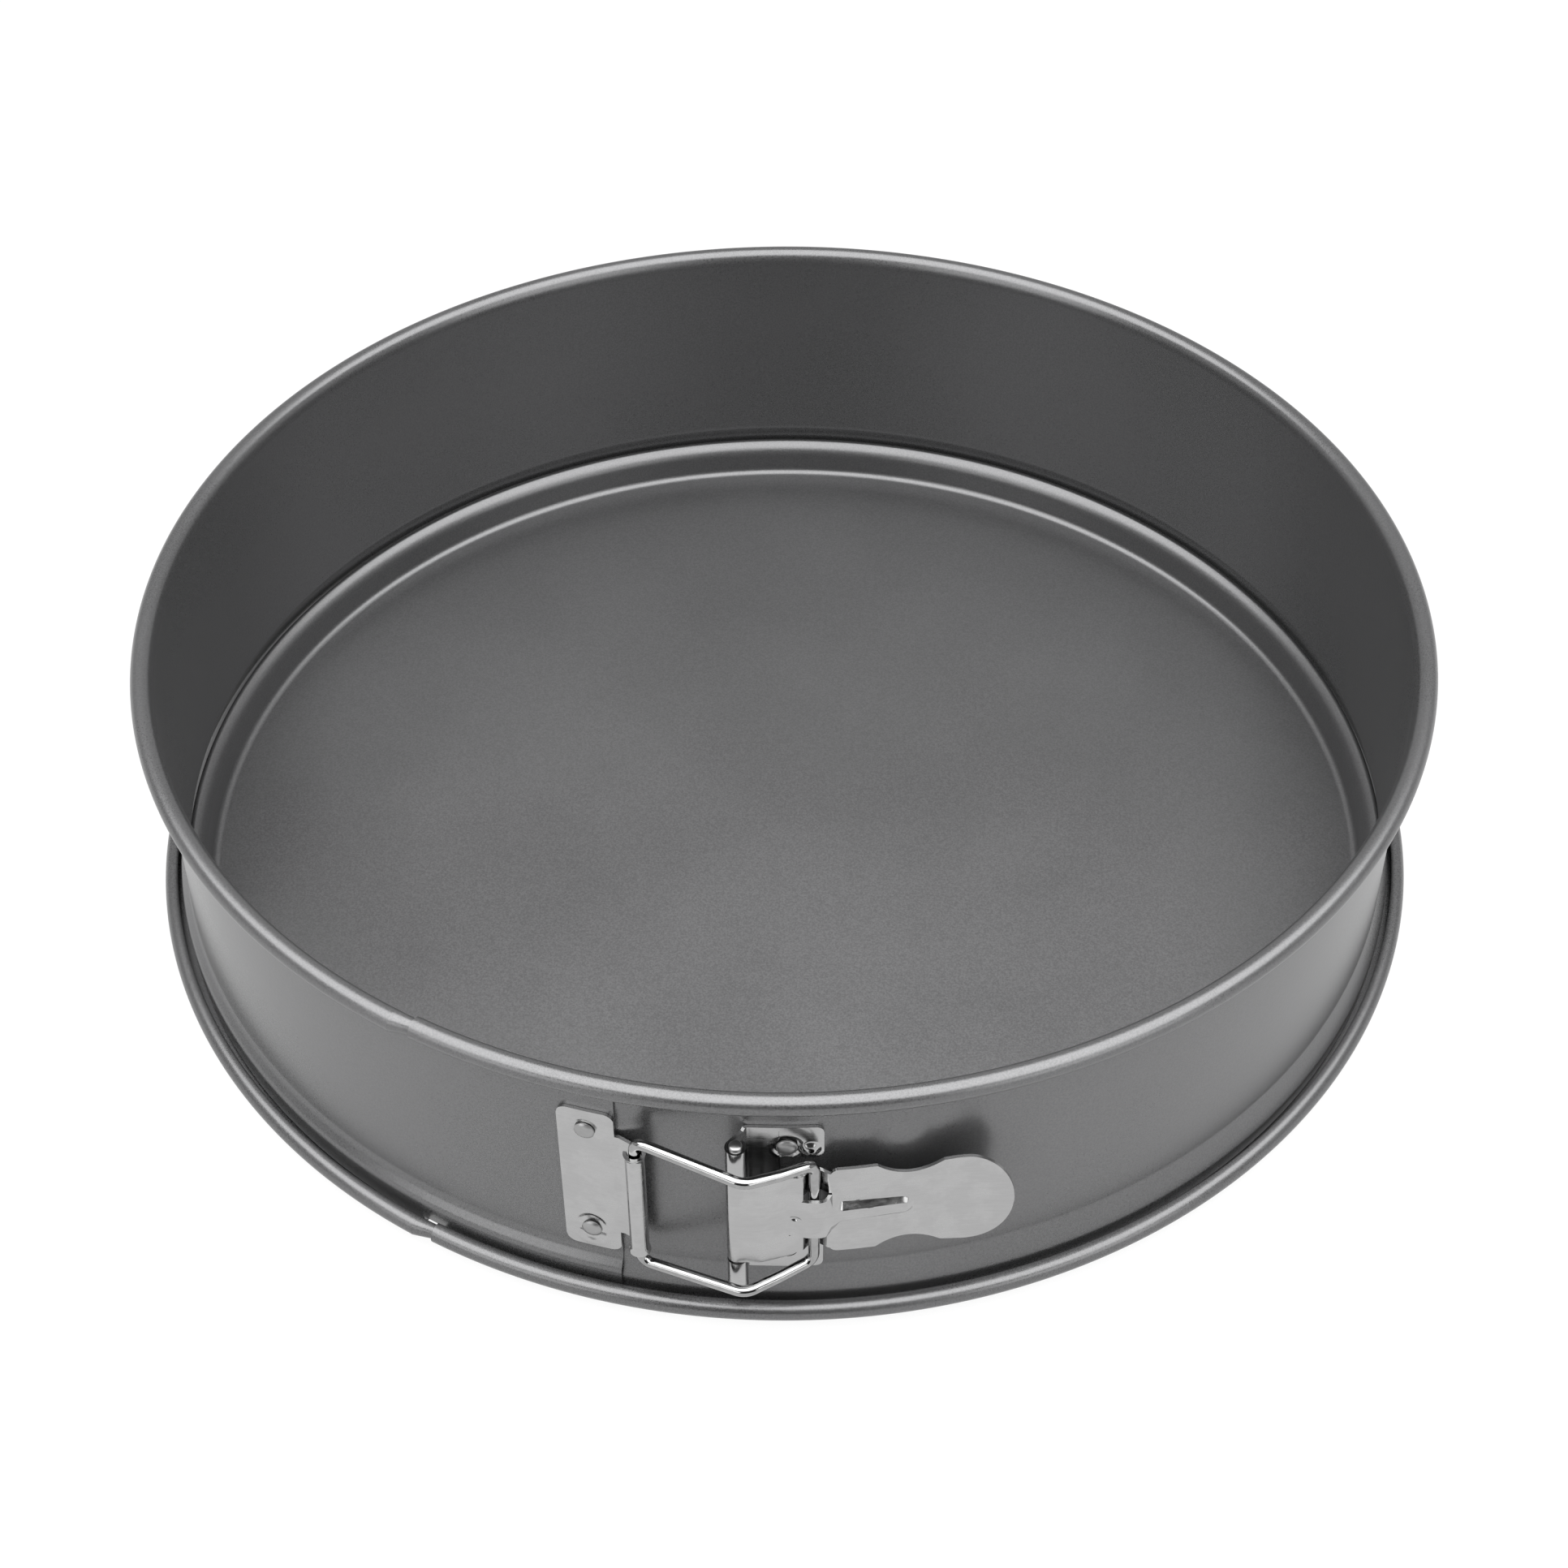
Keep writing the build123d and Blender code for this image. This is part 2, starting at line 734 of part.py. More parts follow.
# Rivets
bracket_face = bracket_mid + clip_sheet / 2
bracket_grip = bracket_face - inner_radius
keeper_face = keeper_mid + clip_sheet / 2
keeper_grip = keeper_face - strip_face + band_sheet
rivets = []
for level, index in (("upper", 0), ("lower", 1)):
    body = rivet(bracket_face, 0, bracket_rivet_heights[index], bracket_grip, 0, True)
    body.label = "bracket_rivet_" + level
    rivets.append(body)
    body = rivet(
        keeper_face,
        keeper_rivet_angle,
        keeper_rivet_heights[index],
        keeper_grip,
        -lap_offset,
    )
    body.label = "keeper_rivet_" + level
    rivets.append(body)

sheet_parts = (base_plate, band, pivot_bracket, lever_pin, lever, wire_link, keeper_plate)
for solid in [piece.part for piece in sheet_parts] + rivets:
    export_step(solid, "parts/" + solid.label + ".step")
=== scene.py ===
import math

import bmesh
import bpy
from bpy.props import FloatProperty, FloatVectorProperty, IntProperty, PointerProperty
from bpy.types import Operator, Panel, PropertyGroup
from mathutils import Matrix, Vector


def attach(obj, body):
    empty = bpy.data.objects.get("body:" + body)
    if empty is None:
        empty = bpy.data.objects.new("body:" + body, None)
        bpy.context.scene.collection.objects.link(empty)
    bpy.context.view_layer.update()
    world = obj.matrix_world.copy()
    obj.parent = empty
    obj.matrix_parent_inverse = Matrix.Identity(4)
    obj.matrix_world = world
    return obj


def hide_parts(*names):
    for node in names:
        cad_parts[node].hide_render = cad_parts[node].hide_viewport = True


bl_info = {
    "name": "Round Cake Tin",
    "version": (1, 0, 0),
    "blender": (4, 5, 0),
    "location": "3D View > Sidebar > Cake Tin",
    "description": "Builds the looks of a round cake tin with a spring clip",
    "category": "Add Mesh",
}

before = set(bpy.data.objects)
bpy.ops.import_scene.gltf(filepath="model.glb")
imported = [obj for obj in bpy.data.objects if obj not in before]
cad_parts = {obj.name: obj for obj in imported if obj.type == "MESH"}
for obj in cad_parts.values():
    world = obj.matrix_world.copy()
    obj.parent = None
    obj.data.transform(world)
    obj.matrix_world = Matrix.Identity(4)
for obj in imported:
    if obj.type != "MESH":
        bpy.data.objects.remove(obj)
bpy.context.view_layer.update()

# Numbers of the Mix node's colour sockets
MIX_FIRST_COLOUR = 6
MIX_LAST_COLOUR = 7
MIX_COLOUR = 2

WHITE = (1.0, 1.0, 1.0)

# Where the rolled edges start and end, in degrees round their middles
TOP_CURL_END = -108
NESTED_CURL_END = -80
FOOT_CURL_START = -90
FOOT_CURL_END = 107
RIM_CURL_END = -125
KEEPER_CURL_END = -195
BRACKET_CURL_START = 415
LEVER_CURL_START = 20
LEVER_CURL_END = 270

# Share of the outer half over which its flare changes to the steeper one
SWELL_START = 0.3
SWELL_FULL = 0.8

# Distance in metres under which two places count as one
NEAR = 1e-6

# Width in metres of the step between two heights of one pressed sheet, and of the ledge beside it
STEP = 0.00002
LEDGE = 0.0001

# A distance in metres that lies past every edge of the clip
FAR = 1.0

# Radius in metres of the tiny opening at the middle of a turned piece
EYE = 0.00002

# Distances across in metres of the keeper's and the bracket's upright edges
KEEPER_LEFT = -0.0446
KEEPER_RIGHT = -0.0334
BRACKET_LEFT = -0.0073
BRACKET_SPINE = -0.0016
BRACKET_RIGHT = 0.0072

# Stand-off in metres from the bracket's middle past which only its knuckles are left
BRACKET_FRONT = 0.0004

# Height in metres over the clip's middle at which the wire's line starts in the keeper's barrel
WIRE_START = 0.0004

# Distance in metres behind the pin's middle past which a line counts as the back of the barrel
BARREL_BACK = 0.004

# Least half height in metres of the paddle at its very end
HEAD_LEAST = 0.0006

# Greatest distances in metres between the points of each piece's line
KEEPER_PITCH = 0.0005
LEVER_PITCH = 0.0003
WIRE_PITCH = 0.0015
WEB_PITCH = 0.0006
SPINE_PITCH = 0.0004
ARM_PITCH = 0.0003

# Stand-off and round end of the rivets' tails: radius and depth in metres
TAIL_GAP = 0.00003
TAIL_END = ((0.0017, 0.00025), (0.001, 0.00045), (EYE, 0.0005))

# Places on the clip in metres: the distance across and the stand-off from the band's inside
PIN_PLACE = (-0.0098, 0.00573)
TUNNEL_PLACE = (0.0053, 0.004697)
KEEPER_PLACE = (-0.0294, 0.004816)
CROWN_PLACE = (-0.0083, 0.01143)
SHOULDER_PLACE = (-0.0014, 0.008107)
RIB_PLACE = (0.0080, 0.006069)
PADDLE_PLACES = [
    (0.0083, 0.004289),
    (0.0132, 0.004156),
    (0.0179, 0.004017),
    (0.0237, 0.004112),
    (0.0354, 0.005182),
    (0.0447, 0.007868),
]


class TinSizes(PropertyGroup):
    """Sizes of the band and the base"""

    inner_radius: FloatProperty(
        name="Inner Radius",
        description="Inside radius of the band",
        default=0.140,
        unit="LENGTH",
    )
    band_sheet: FloatProperty(
        name="Band Sheet",
        description="Thickness of the band",
        default=0.0005,
        unit="LENGTH",
    )
    band_foot: FloatProperty(
        name="Band Foot",
        description="Height of the band's underside",
        default=0.0022,
        unit="LENGTH",
    )
    band_height: FloatProperty(
        name="Band Height",
        description="Height of the band",
        default=0.0675,
        unit="LENGTH",
    )
    bead_radius: FloatProperty(
        name="Bead Radius",
        description="Outside radius of the rolled beads",
        default=0.0023,
        unit="LENGTH",
    )
    flare_top: FloatProperty(
        name="Flare Top",
        description="Height where the wall starts to flare",
        default=0.0139,
        unit="LENGTH",
    )
    flare_out: FloatProperty(
        name="Flare Out",
        description="How far the wall flares outward",
        default=0.00215,
        unit="LENGTH",
    )
    swell_drop: FloatProperty(
        name="Swell Drop",
        description="How much lower the outer half's flare starts",
        default=0.0012,
        unit="LENGTH",
    )
    swell_rise: FloatProperty(
        name="Swell Rise",
        description="How much higher the outer half's flare ends",
        default=0.0026,
        unit="LENGTH",
    )
    flare_waist: FloatProperty(
        name="Flare Waist",
        description="Height of the widest part of the flare",
        default=0.0074,
        unit="LENGTH",
    )
    flare_bend: FloatProperty(
        name="Flare Bend",
        description="Bend radius where the wall starts to flare",
        default=0.004,
        unit="LENGTH",
    )
    waist_bend: FloatProperty(
        name="Waist Bend",
        description="Bend radius at the widest part of the flare",
        default=0.0024,
        unit="LENGTH",
    )
    groove_bend: FloatProperty(
        name="Groove Bend",
        description="Bend radius between the wall and the hem",
        default=0.0008,
        unit="LENGTH",
    )
    groove_out: FloatProperty(
        name="Groove Out",
        description="How far out the wall ends above the hem",
        default=0.00175,
        unit="LENGTH",
    )
    hem_edge: FloatProperty(
        name="Hem Edge",
        description="How far out the folded hem starts",
        default=0.00095,
        unit="LENGTH",
    )
    hem_fold: FloatProperty(
        name="Hem Fold",
        description="Radius of the fold in the hem",
        default=0.0003,
        unit="LENGTH",
    )
    foot_bead_out: FloatProperty(
        name="Foot Bead Out",
        description="Distance of the lower bead's centre from the inside",
        default=0.00467,
        unit="LENGTH",
    )
    lap_gap: FloatProperty(
        name="Lap Gap",
        description="Play between the lapped ends",
        default=0.00015,
        unit="LENGTH",
    )
    throat: FloatProperty(
        name="Throat",
        description="Radius of the throat under the top bead",
        default=0.005,
        unit="LENGTH",
    )
    throat_turn: FloatProperty(
        name="Throat Turn",
        description="How far the throat turns outward",
        default=math.radians(30.0),
        subtype="ANGLE",
    )
    tuck_out: FloatProperty(
        name="Tuck Out",
        description="How far out the outer end's wall ends",
        default=0.002,
        unit="LENGTH",
    )
    tuck_height: FloatProperty(
        name="Tuck Height",
        description="Height of the outer end's lower edge",
        default=0.005,
        unit="LENGTH",
    )
    inner_end: FloatProperty(
        name="Inner End",
        description="Angle of the inner end from the front",
        default=math.radians(-30.3),
        subtype="ANGLE",
    )
    full_bead_end: FloatProperty(
        name="Full Bead End",
        description="Angle where the outer end's beads start to narrow",
        default=math.radians(-32.2),
        subtype="ANGLE",
    )
    spigot_end: FloatProperty(
        name="Spigot End",
        description="Angle where the outer end's lower bead stops inside the other",
        default=math.radians(-27.5),
        subtype="ANGLE",
    )
    outer_end: FloatProperty(
        name="Outer End",
        description="Distance across of the outer end",
        default=-0.0333,
        unit="LENGTH",
    )
    base_sheet: FloatProperty(
        name="Base Sheet",
        description="Thickness of the base plate",
        default=0.0006,
        unit="LENGTH",
    )
    rim_radius: FloatProperty(
        name="Rim Radius",
        description="Outside radius of the base's rolled rim",
        default=0.00105,
        unit="LENGTH",
    )
    rim_inset: FloatProperty(
        name="Rim Inset",
        description="Distance of the rim's centre from the band's inside",
        default=0.0006,
        unit="LENGTH",
    )
    rim_height: FloatProperty(
        name="Rim Height",
        description="Height of the rim's centre",
        default=0.00785,
        unit="LENGTH",
    )
    shoulder: FloatProperty(
        name="Shoulder",
        description="Radius of the shoulder under the rim",
        default=0.005,
        unit="LENGTH",
    )
    shoulder_top: FloatProperty(
        name="Shoulder Top",
        description="Turn of the shoulder where the rim starts",
        default=math.radians(60.0),
        subtype="ANGLE",
    )
    side_lean: FloatProperty(
        name="Side Lean",
        description="How far the dish's side leans outward",
        default=math.radians(10.0),
        subtype="ANGLE",
    )
    floor_eye: FloatProperty(
        name="Floor Eye",
        description="Radius of the small flat at the middle of the floor",
        default=0.002,
        unit="LENGTH",
    )
    floor_bend: FloatProperty(
        name="Floor Bend",
        description="Bend radius at the edge of the floor",
        default=0.0022,
        unit="LENGTH",
    )


class ClipSizes(PropertyGroup):
    """Sizes that the clip's pieces share, and those of the wire, the rivets and the pin"""

    height: FloatProperty(
        name="Clip Height",
        description="Height of the clip's middle",
        default=0.0366,
        unit="LENGTH",
    )
    sheet: FloatProperty(
        name="Clip Sheet",
        description="Thickness of the clip's plates",
        default=0.0007,
        unit="LENGTH",
    )
    seat_gap: FloatProperty(
        name="Seat Gap",
        description="Play between plates and band",
        default=0.00005,
        unit="LENGTH",
    )
    barrel: FloatProperty(
        name="Barrel Radius",
        description="Middle radius of the curls round the pin",
        default=0.00175,
        unit="LENGTH",
    )
    keeper_barrel: FloatProperty(
        name="Keeper Barrel",
        description="Middle radius of the curl round the wire",
        default=0.0016,
        unit="LENGTH",
    )
    wire: FloatProperty(
        name="Wire Radius",
        description="Radius of the wire link",
        default=0.00115,
        unit="LENGTH",
    )
    wire_bend: FloatProperty(
        name="Wire Bend",
        description="Bend radius of the wire link",
        default=0.0024,
        unit="LENGTH",
    )
    pin: FloatProperty(
        name="Pin Radius",
        description="Radius of the lever pin",
        default=0.00132,
        unit="LENGTH",
    )
    pin_half: FloatProperty(
        name="Pin Half",
        description="Half the length of the lever pin",
        default=0.0223,
        unit="LENGTH",
    )
    rivet_head: FloatProperty(
        name="Rivet Head",
        description="Radius of the rivet heads",
        default=0.0021,
        unit="LENGTH",
    )
    rivet_dome: FloatProperty(
        name="Rivet Dome",
        description="Height of the rivet heads",
        default=0.00078,
        unit="LENGTH",
    )
    rivet_shank: FloatProperty(
        name="Rivet Shank",
        description="Radius of the rivets' shanks",
        default=0.0012,
        unit="LENGTH",
    )
    rivet_tail: FloatProperty(
        name="Rivet Tail",
        description="Radius of the flattened tails",
        default=0.0019,
        unit="LENGTH",
    )
    pin_dome: FloatProperty(
        name="Pin Dome",
        description="Height of the pin's domed ends",
        default=0.0004,
        unit="LENGTH",
    )
    rivet_rim: FloatProperty(
        name="Rivet Rim",
        description="Height of the rivet heads' edge",
        default=0.0003,
        unit="LENGTH",
    )
    keeper_rivet: FloatProperty(
        name="Keeper Rivet",
        description="Height of the keeper's rivets from the clip's middle",
        default=0.0156,
        unit="LENGTH",
    )
    bracket_rivet: FloatProperty(
        name="Bracket Rivet",
        description="Height of the bracket's rivets from the clip's middle",
        default=0.0163,
        unit="LENGTH",
    )
    keeper_rivet_across: FloatProperty(
        name="Keeper Rivet Across",
        description="Distance across of the keeper's rivets",
        default=-0.03916,
        unit="LENGTH",
    )
    crown_bend: FloatProperty(
        name="Crown Bend",
        description="Bend radius of the wire link's crown",
        default=0.0045,
        unit="LENGTH",
    )
    keeper_wire: FloatProperty(
        name="Keeper Wire",
        description="Half the wire link's height at the keeper",
        default=0.0189,
        unit="LENGTH",
    )
    crown_wire: FloatProperty(
        name="Crown Wire",
        description="Half the wire link's height at its crown",
        default=0.0173,
        unit="LENGTH",
    )
    shoulder_wire: FloatProperty(
        name="Shoulder Wire",
        description="Half the wire link's height at its shoulder",
        default=0.0161,
        unit="LENGTH",
    )
    tunnel_wire: FloatProperty(
        name="Tunnel Wire",
        description="Half the wire link's height in the lever",
        default=0.0151,
        unit="LENGTH",
    )
    rows: IntProperty(
        name="Rows",
        description="Rows across each plate",
        default=64,
        min=8,
    )


class KeeperSizes(PropertyGroup):
    """Sizes of the keeper plate"""

    half: FloatProperty(
        name="Half Height",
        description="Half the plate's height",
        default=0.0214,
        unit="LENGTH",
    )
    corner: FloatProperty(
        name="Corner",
        description="Radius of the plate's corners",
        default=0.0022,
        unit="LENGTH",
    )
    tongue_across: FloatProperty(
        name="Tongue Across",
        description="Distance across where the tongue leaves the wall",
        default=-0.03273,
        unit="LENGTH",
    )
    tongue_half: FloatProperty(
        name="Tongue Half",
        description="Half the tongue's height",
        default=0.0152,
        unit="LENGTH",
    )
    bend: FloatProperty(
        name="Bend",
        description="Bend radius between plate and tongue",
        default=0.0014,
        unit="LENGTH",
    )
    plate_gap: FloatProperty(
        name="Plate Gap",
        description="Least stand-off of the plate from the barrel's middle",
        default=0.0025,
        unit="LENGTH",
    )
    mouth_flare: FloatProperty(
        name="Mouth Flare",
        description="How far the barrel's mouths open outward",
        default=0.0003,
        unit="LENGTH",
    )
    mouth_length: FloatProperty(
        name="Mouth Length",
        description="Length of the barrel's opened mouths",
        default=0.0012,
        unit="LENGTH",
    )
    ring_radius: FloatProperty(
        name="Ring Radius",
        description="Radius of the shallow seat round the upper rivet",
        default=0.00315,
        unit="LENGTH",
    )
    ring_floor: FloatProperty(
        name="Ring Floor",
        description="Radius of the seat's flat floor",
        default=0.0028,
        unit="LENGTH",
    )
    ring_depth: FloatProperty(
        name="Ring Depth",
        description="Depth of the upper rivet's seat",
        default=0.00014,
        unit="LENGTH",
    )
    dish_across: FloatProperty(
        name="Dish Across",
        description="Half the width of the oval dish round the lower rivet",
        default=0.0037,
        unit="LENGTH",
    )
    dish_half: FloatProperty(
        name="Dish Half",
        description="Half the height of the oval dish",
        default=0.0047,
        unit="LENGTH",
    )
    dish_depth: FloatProperty(
        name="Dish Depth",
        description="Depth of the oval dish",
        default=0.0005,
        unit="LENGTH",
    )
    dish_lift: FloatProperty(
        name="Dish Lift",
        description="How far the dish's middle lies over the rivet's",
        default=0.0001,
        unit="LENGTH",
    )
    lip: FloatProperty(
        name="Lip",
        description="Height of the lip round the oval dish",
        default=0.000075,
        unit="LENGTH",
    )


class BracketSizes(PropertyGroup):
    """Sizes of the pivot bracket"""

    bend: FloatProperty(
        name="Bend",
        description="Bend radius between spine and web",
        default=0.0012,
        unit="LENGTH",
    )
    half: FloatProperty(
        name="Half Height",
        description="Half the bracket's height",
        default=0.022,
        unit="LENGTH",
    )
    overlap: FloatProperty(
        name="Overlap",
        description="How far each half runs past the clip's middle",
        default=0.0002,
        unit="LENGTH",
    )
    arm: FloatProperty(
        name="Arm",
        description="Height of the arms' inner edges from the clip's middle",
        default=0.0132,
        unit="LENGTH",
    )
    corner: FloatProperty(
        name="Corner",
        description="Radius of the arms' corners",
        default=0.0016,
        unit="LENGTH",
    )
    knuckle_low: FloatProperty(
        name="Knuckle Low",
        description="Where a knuckle starts from the clip's middle",
        default=0.0131,
        unit="LENGTH",
    )
    knuckle_high: FloatProperty(
        name="Knuckle High",
        description="Where a knuckle ends from the clip's middle",
        default=0.0215,
        unit="LENGTH",
    )
    boss_across: FloatProperty(
        name="Boss Across",
        description="Distance across of the pressed boss",
        default=0.0046,
        unit="LENGTH",
    )
    boss_drop: FloatProperty(
        name="Boss Drop",
        description="How far the boss lies under the rivet",
        default=0.0006,
        unit="LENGTH",
    )
    boss_radius: FloatProperty(
        name="Boss Radius",
        description="Radius of the boss",
        default=0.0022,
        unit="LENGTH",
    )
    boss_flat: FloatProperty(
        name="Boss Flat",
        description="Radius of the flat on the boss",
        default=0.0006,
        unit="LENGTH",
    )
    boss_rise: FloatProperty(
        name="Boss Rise",
        description="Height of the boss",
        default=0.00075,
        unit="LENGTH",
    )
    seat_radius: FloatProperty(
        name="Seat Radius",
        description="Radius of the hollow round the upper rivet",
        default=0.0034,
        unit="LENGTH",
    )
    seat_floor: FloatProperty(
        name="Seat Floor",
        description="Radius of the hollow's flat floor",
        default=0.0026,
        unit="LENGTH",
    )
    seat_depth: FloatProperty(
        name="Seat Depth",
        description="Depth of the hollow",
        default=0.00045,
        unit="LENGTH",
    )


class LeverSizes(PropertyGroup):
    """Sizes of the lever"""

    barrel_half: FloatProperty(
        name="Barrel Half",
        description="Half the height of the plate at the barrel",
        default=0.01225,
        unit="LENGTH",
    )
    barrel_right: FloatProperty(
        name="Barrel Right",
        description="Distance across where that plate ends",
        default=0.0032,
        unit="LENGTH",
    )
    barrel_corner: FloatProperty(
        name="Barrel Corner",
        description="Radius of that plate's corners",
        default=0.0030,
        unit="LENGTH",
    )
    tongue_left: FloatProperty(
        name="Tongue Left",
        description="Distance across where the tunnel's plate starts",
        default=0.0019,
        unit="LENGTH",
    )
    tongue_half: FloatProperty(
        name="Tongue Half",
        description="Half the height of the tunnel's plate",
        default=0.0117,
        unit="LENGTH",
    )
    lance_left: FloatProperty(
        name="Lance Left",
        description="Distance across where the bridge starts",
        default=0.0003,
        unit="LENGTH",
    )
    lance_open: FloatProperty(
        name="Lance Open",
        description="Distance across where the upper cut opens",
        default=0.0029,
        unit="LENGTH",
    )
    lance_right: FloatProperty(
        name="Lance Right",
        description="Distance across where the bridge ends",
        default=0.0086,
        unit="LENGTH",
    )
    cut_low: FloatProperty(
        name="Cut Low",
        description="Inner edge of the two cuts from the clip's middle",
        default=0.0056,
        unit="LENGTH",
    )
    cut_high: FloatProperty(
        name="Cut High",
        description="Outer edge of the two cuts from the clip's middle",
        default=0.0059,
        unit="LENGTH",
    )
    bend_across: FloatProperty(
        name="Bend Across",
        description="Distance across where the sheet leaves the barrel",
        default=-0.0050,
        unit="LENGTH",
    )
    bend: FloatProperty(
        name="Bend",
        description="Bend radius at the barrel",
        default=0.006,
        unit="LENGTH",
    )
    lean: FloatProperty(
        name="Lean",
        description="How far the sheet leans past the barrel",
        default=math.radians(17),
        subtype="ANGLE",
    )
    fold: FloatProperty(
        name="Fold",
        description="Bend radius of the tunnel's floor",
        default=0.0007,
        unit="LENGTH",
    )
    neck_left: FloatProperty(
        name="Neck Left",
        description="Distance across where the neck starts",
        default=0.0083,
        unit="LENGTH",
    )
    neck_half: FloatProperty(
        name="Neck Half",
        description="Half the neck's height",
        default=0.0128,
        unit="LENGTH",
    )
    neck_corner: FloatProperty(
        name="Neck Corner",
        description="Radius of the neck's corners",
        default=0.0018,
        unit="LENGTH",
    )
    waist_left: FloatProperty(
        name="Waist Left",
        description="Distance across where the waist starts",
        default=0.0175,
        unit="LENGTH",
    )
    waist_middle: FloatProperty(
        name="Waist Middle",
        description="Distance across of the waist's narrowest place",
        default=0.02395,
        unit="LENGTH",
    )
    waist_right: FloatProperty(
        name="Waist Right",
        description="Distance across where the waist ends",
        default=0.0304,
        unit="LENGTH",
    )
    waist_half: FloatProperty(
        name="Waist Half",
        description="Half the waist's least height",
        default=0.0100,
        unit="LENGTH",
    )
    head_start: FloatProperty(
        name="Head Start",
        description="Half the paddle's height where the waist ends",
        default=0.0125,
        unit="LENGTH",
    )
    head_middle: FloatProperty(
        name="Head Middle",
        description="Distance across of the paddle's middle",
        default=0.0350,
        unit="LENGTH",
    )
    head_half: FloatProperty(
        name="Head Half",
        description="Half the paddle's height",
        default=0.0129,
        unit="LENGTH",
    )
    head_reach: FloatProperty(
        name="Head Reach",
        description="Length of the paddle's round end",
        default=0.0097,
        unit="LENGTH",
    )
    rib_root: FloatProperty(
        name="Rib Root",
        description="Half the rib's height where it starts",
        default=0.0060,
        unit="LENGTH",
    )
    rib_half: FloatProperty(
        name="Rib Half",
        description="Half the rib's height on the neck",
        default=0.0031,
        unit="LENGTH",
    )
    rib_tip: FloatProperty(
        name="Rib Tip",
        description="Half the rib's height near its end",
        default=0.0027,
        unit="LENGTH",
    )
    rib_end: FloatProperty(
        name="Rib End",
        description="Distance across of the rib's end",
        default=0.0234,
        unit="LENGTH",
    )
    dent_across: FloatProperty(
        name="Dent Across",
        description="Distance across of the dent",
        default=0.0016,
        unit="LENGTH",
    )
    dent_depth: FloatProperty(
        name="Dent Depth",
        description="Depth of the dent",
        default=0.00050,
        unit="LENGTH",
    )
    dent_drop: FloatProperty(
        name="Dent Drop",
        description="How far the dent lies under the clip's middle",
        default=0.0002,
        unit="LENGTH",
    )
    dent_radius: FloatProperty(
        name="Dent Radius",
        description="Radius of the dent",
        default=0.00095,
        unit="LENGTH",
    )
    dent_floor: FloatProperty(
        name="Dent Floor",
        description="Radius of the dent's floor",
        default=0.0001,
        unit="LENGTH",
    )
    dent_stretch: FloatProperty(
        name="Dent Stretch",
        description="Width of the dent over its height",
        default=1.7,
        subtype="FACTOR",
    )
    slope_right: FloatProperty(
        name="Slope Right",
        description="Distance across where the sloping front ends",
        default=0.0030,
        unit="LENGTH",
    )
    floor_left: FloatProperty(
        name="Floor Left",
        description="Distance across where the tunnel's floor starts",
        default=0.0044,
        unit="LENGTH",
    )
    floor_right: FloatProperty(
        name="Floor Right",
        description="Distance across where the tunnel's floor ends",
        default=0.0064,
        unit="LENGTH",
    )
    wire_behind: FloatProperty(
        name="Wire Behind",
        description="Gap between the wire and the tunnel's floor",
        default=0.00015,
        unit="LENGTH",
    )
    wire_ahead: FloatProperty(
        name="Wire Ahead",
        description="Gap between the wire and the bridge over it",
        default=0.0002,
        unit="LENGTH",
    )
    bridge_left: FloatProperty(
        name="Bridge Left",
        description="Distance across where the bridge reaches its height",
        default=0.0040,
        unit="LENGTH",
    )
    bridge_right: FloatProperty(
        name="Bridge Right",
        description="Distance across where the bridge leaves the wire",
        default=0.0067,
        unit="LENGTH",
    )
    bridge_bend: FloatProperty(
        name="Bridge Bend",
        description="Bend radius of the bridge",
        default=0.002,
        unit="LENGTH",
    )
    ridge_left: FloatProperty(
        name="Ridge Left",
        description="Distance across where the rib's ridge starts",
        default=0.0089,
        unit="LENGTH",
    )
    ridge_bend: FloatProperty(
        name="Ridge Bend",
        description="Bend radius between the bridge and the ridge",
        default=0.003,
        unit="LENGTH",
    )
    ridge_drop: FloatProperty(
        name="Ridge Drop",
        description="How far the ridge's end lies behind the paddle's face",
        default=0.0009,
        unit="LENGTH",
    )
    skin_reach: FloatProperty(
        name="Skin Reach",
        description="How far the paddle's face is carried back under the bridge",
        default=0.009,
        unit="LENGTH",
    )
    lance_half: FloatProperty(
        name="Lance Half",
        description="Half height at which the lanced sheet starts to rise",
        default=0.0115,
        unit="LENGTH",
    )
    cut_full: FloatProperty(
        name="Cut Full",
        description="Half height of the sheet from which the cuts keep their height",
        default=0.0090,
        unit="LENGTH",
    )
    rib_flank: FloatProperty(
        name="Rib Flank",
        description="Share of the rib's half height that slopes",
        default=0.52,
        subtype="FACTOR",
    )
    rib_fade: FloatProperty(
        name="Rib Fade",
        description="Distance across where the rib starts to fade",
        default=0.0232,
        unit="LENGTH",
    )
    rib_gone: FloatProperty(
        name="Rib Gone",
        description="Distance across where the rib is gone",
        default=0.0249,
        unit="LENGTH",
    )
    rib_spread: FloatProperty(
        name="Rib Spread",
        description="How much the rib widens towards the bridge",
        default=5.0,
        subtype="FACTOR",
    )
    rib_start: FloatProperty(
        name="Rib Start",
        description="Distance across where the rib starts to narrow slowly",
        default=0.0105,
        unit="LENGTH",
    )
    rib_run: FloatProperty(
        name="Rib Run",
        description="Length over which it narrows",
        default=0.013,
        unit="LENGTH",
    )
    rib_waist_left: FloatProperty(
        name="Rib Waist Left",
        description="Distance across where it narrows fast",
        default=0.0084,
        unit="LENGTH",
    )
    rib_waist_right: FloatProperty(
        name="Rib Waist Right",
        description="Distance across where that ends",
        default=0.0108,
        unit="LENGTH",
    )
    rib_round_left: FloatProperty(
        name="Rib Round Left",
        description="Distance across where its round end starts",
        default=0.0222,
        unit="LENGTH",
    )
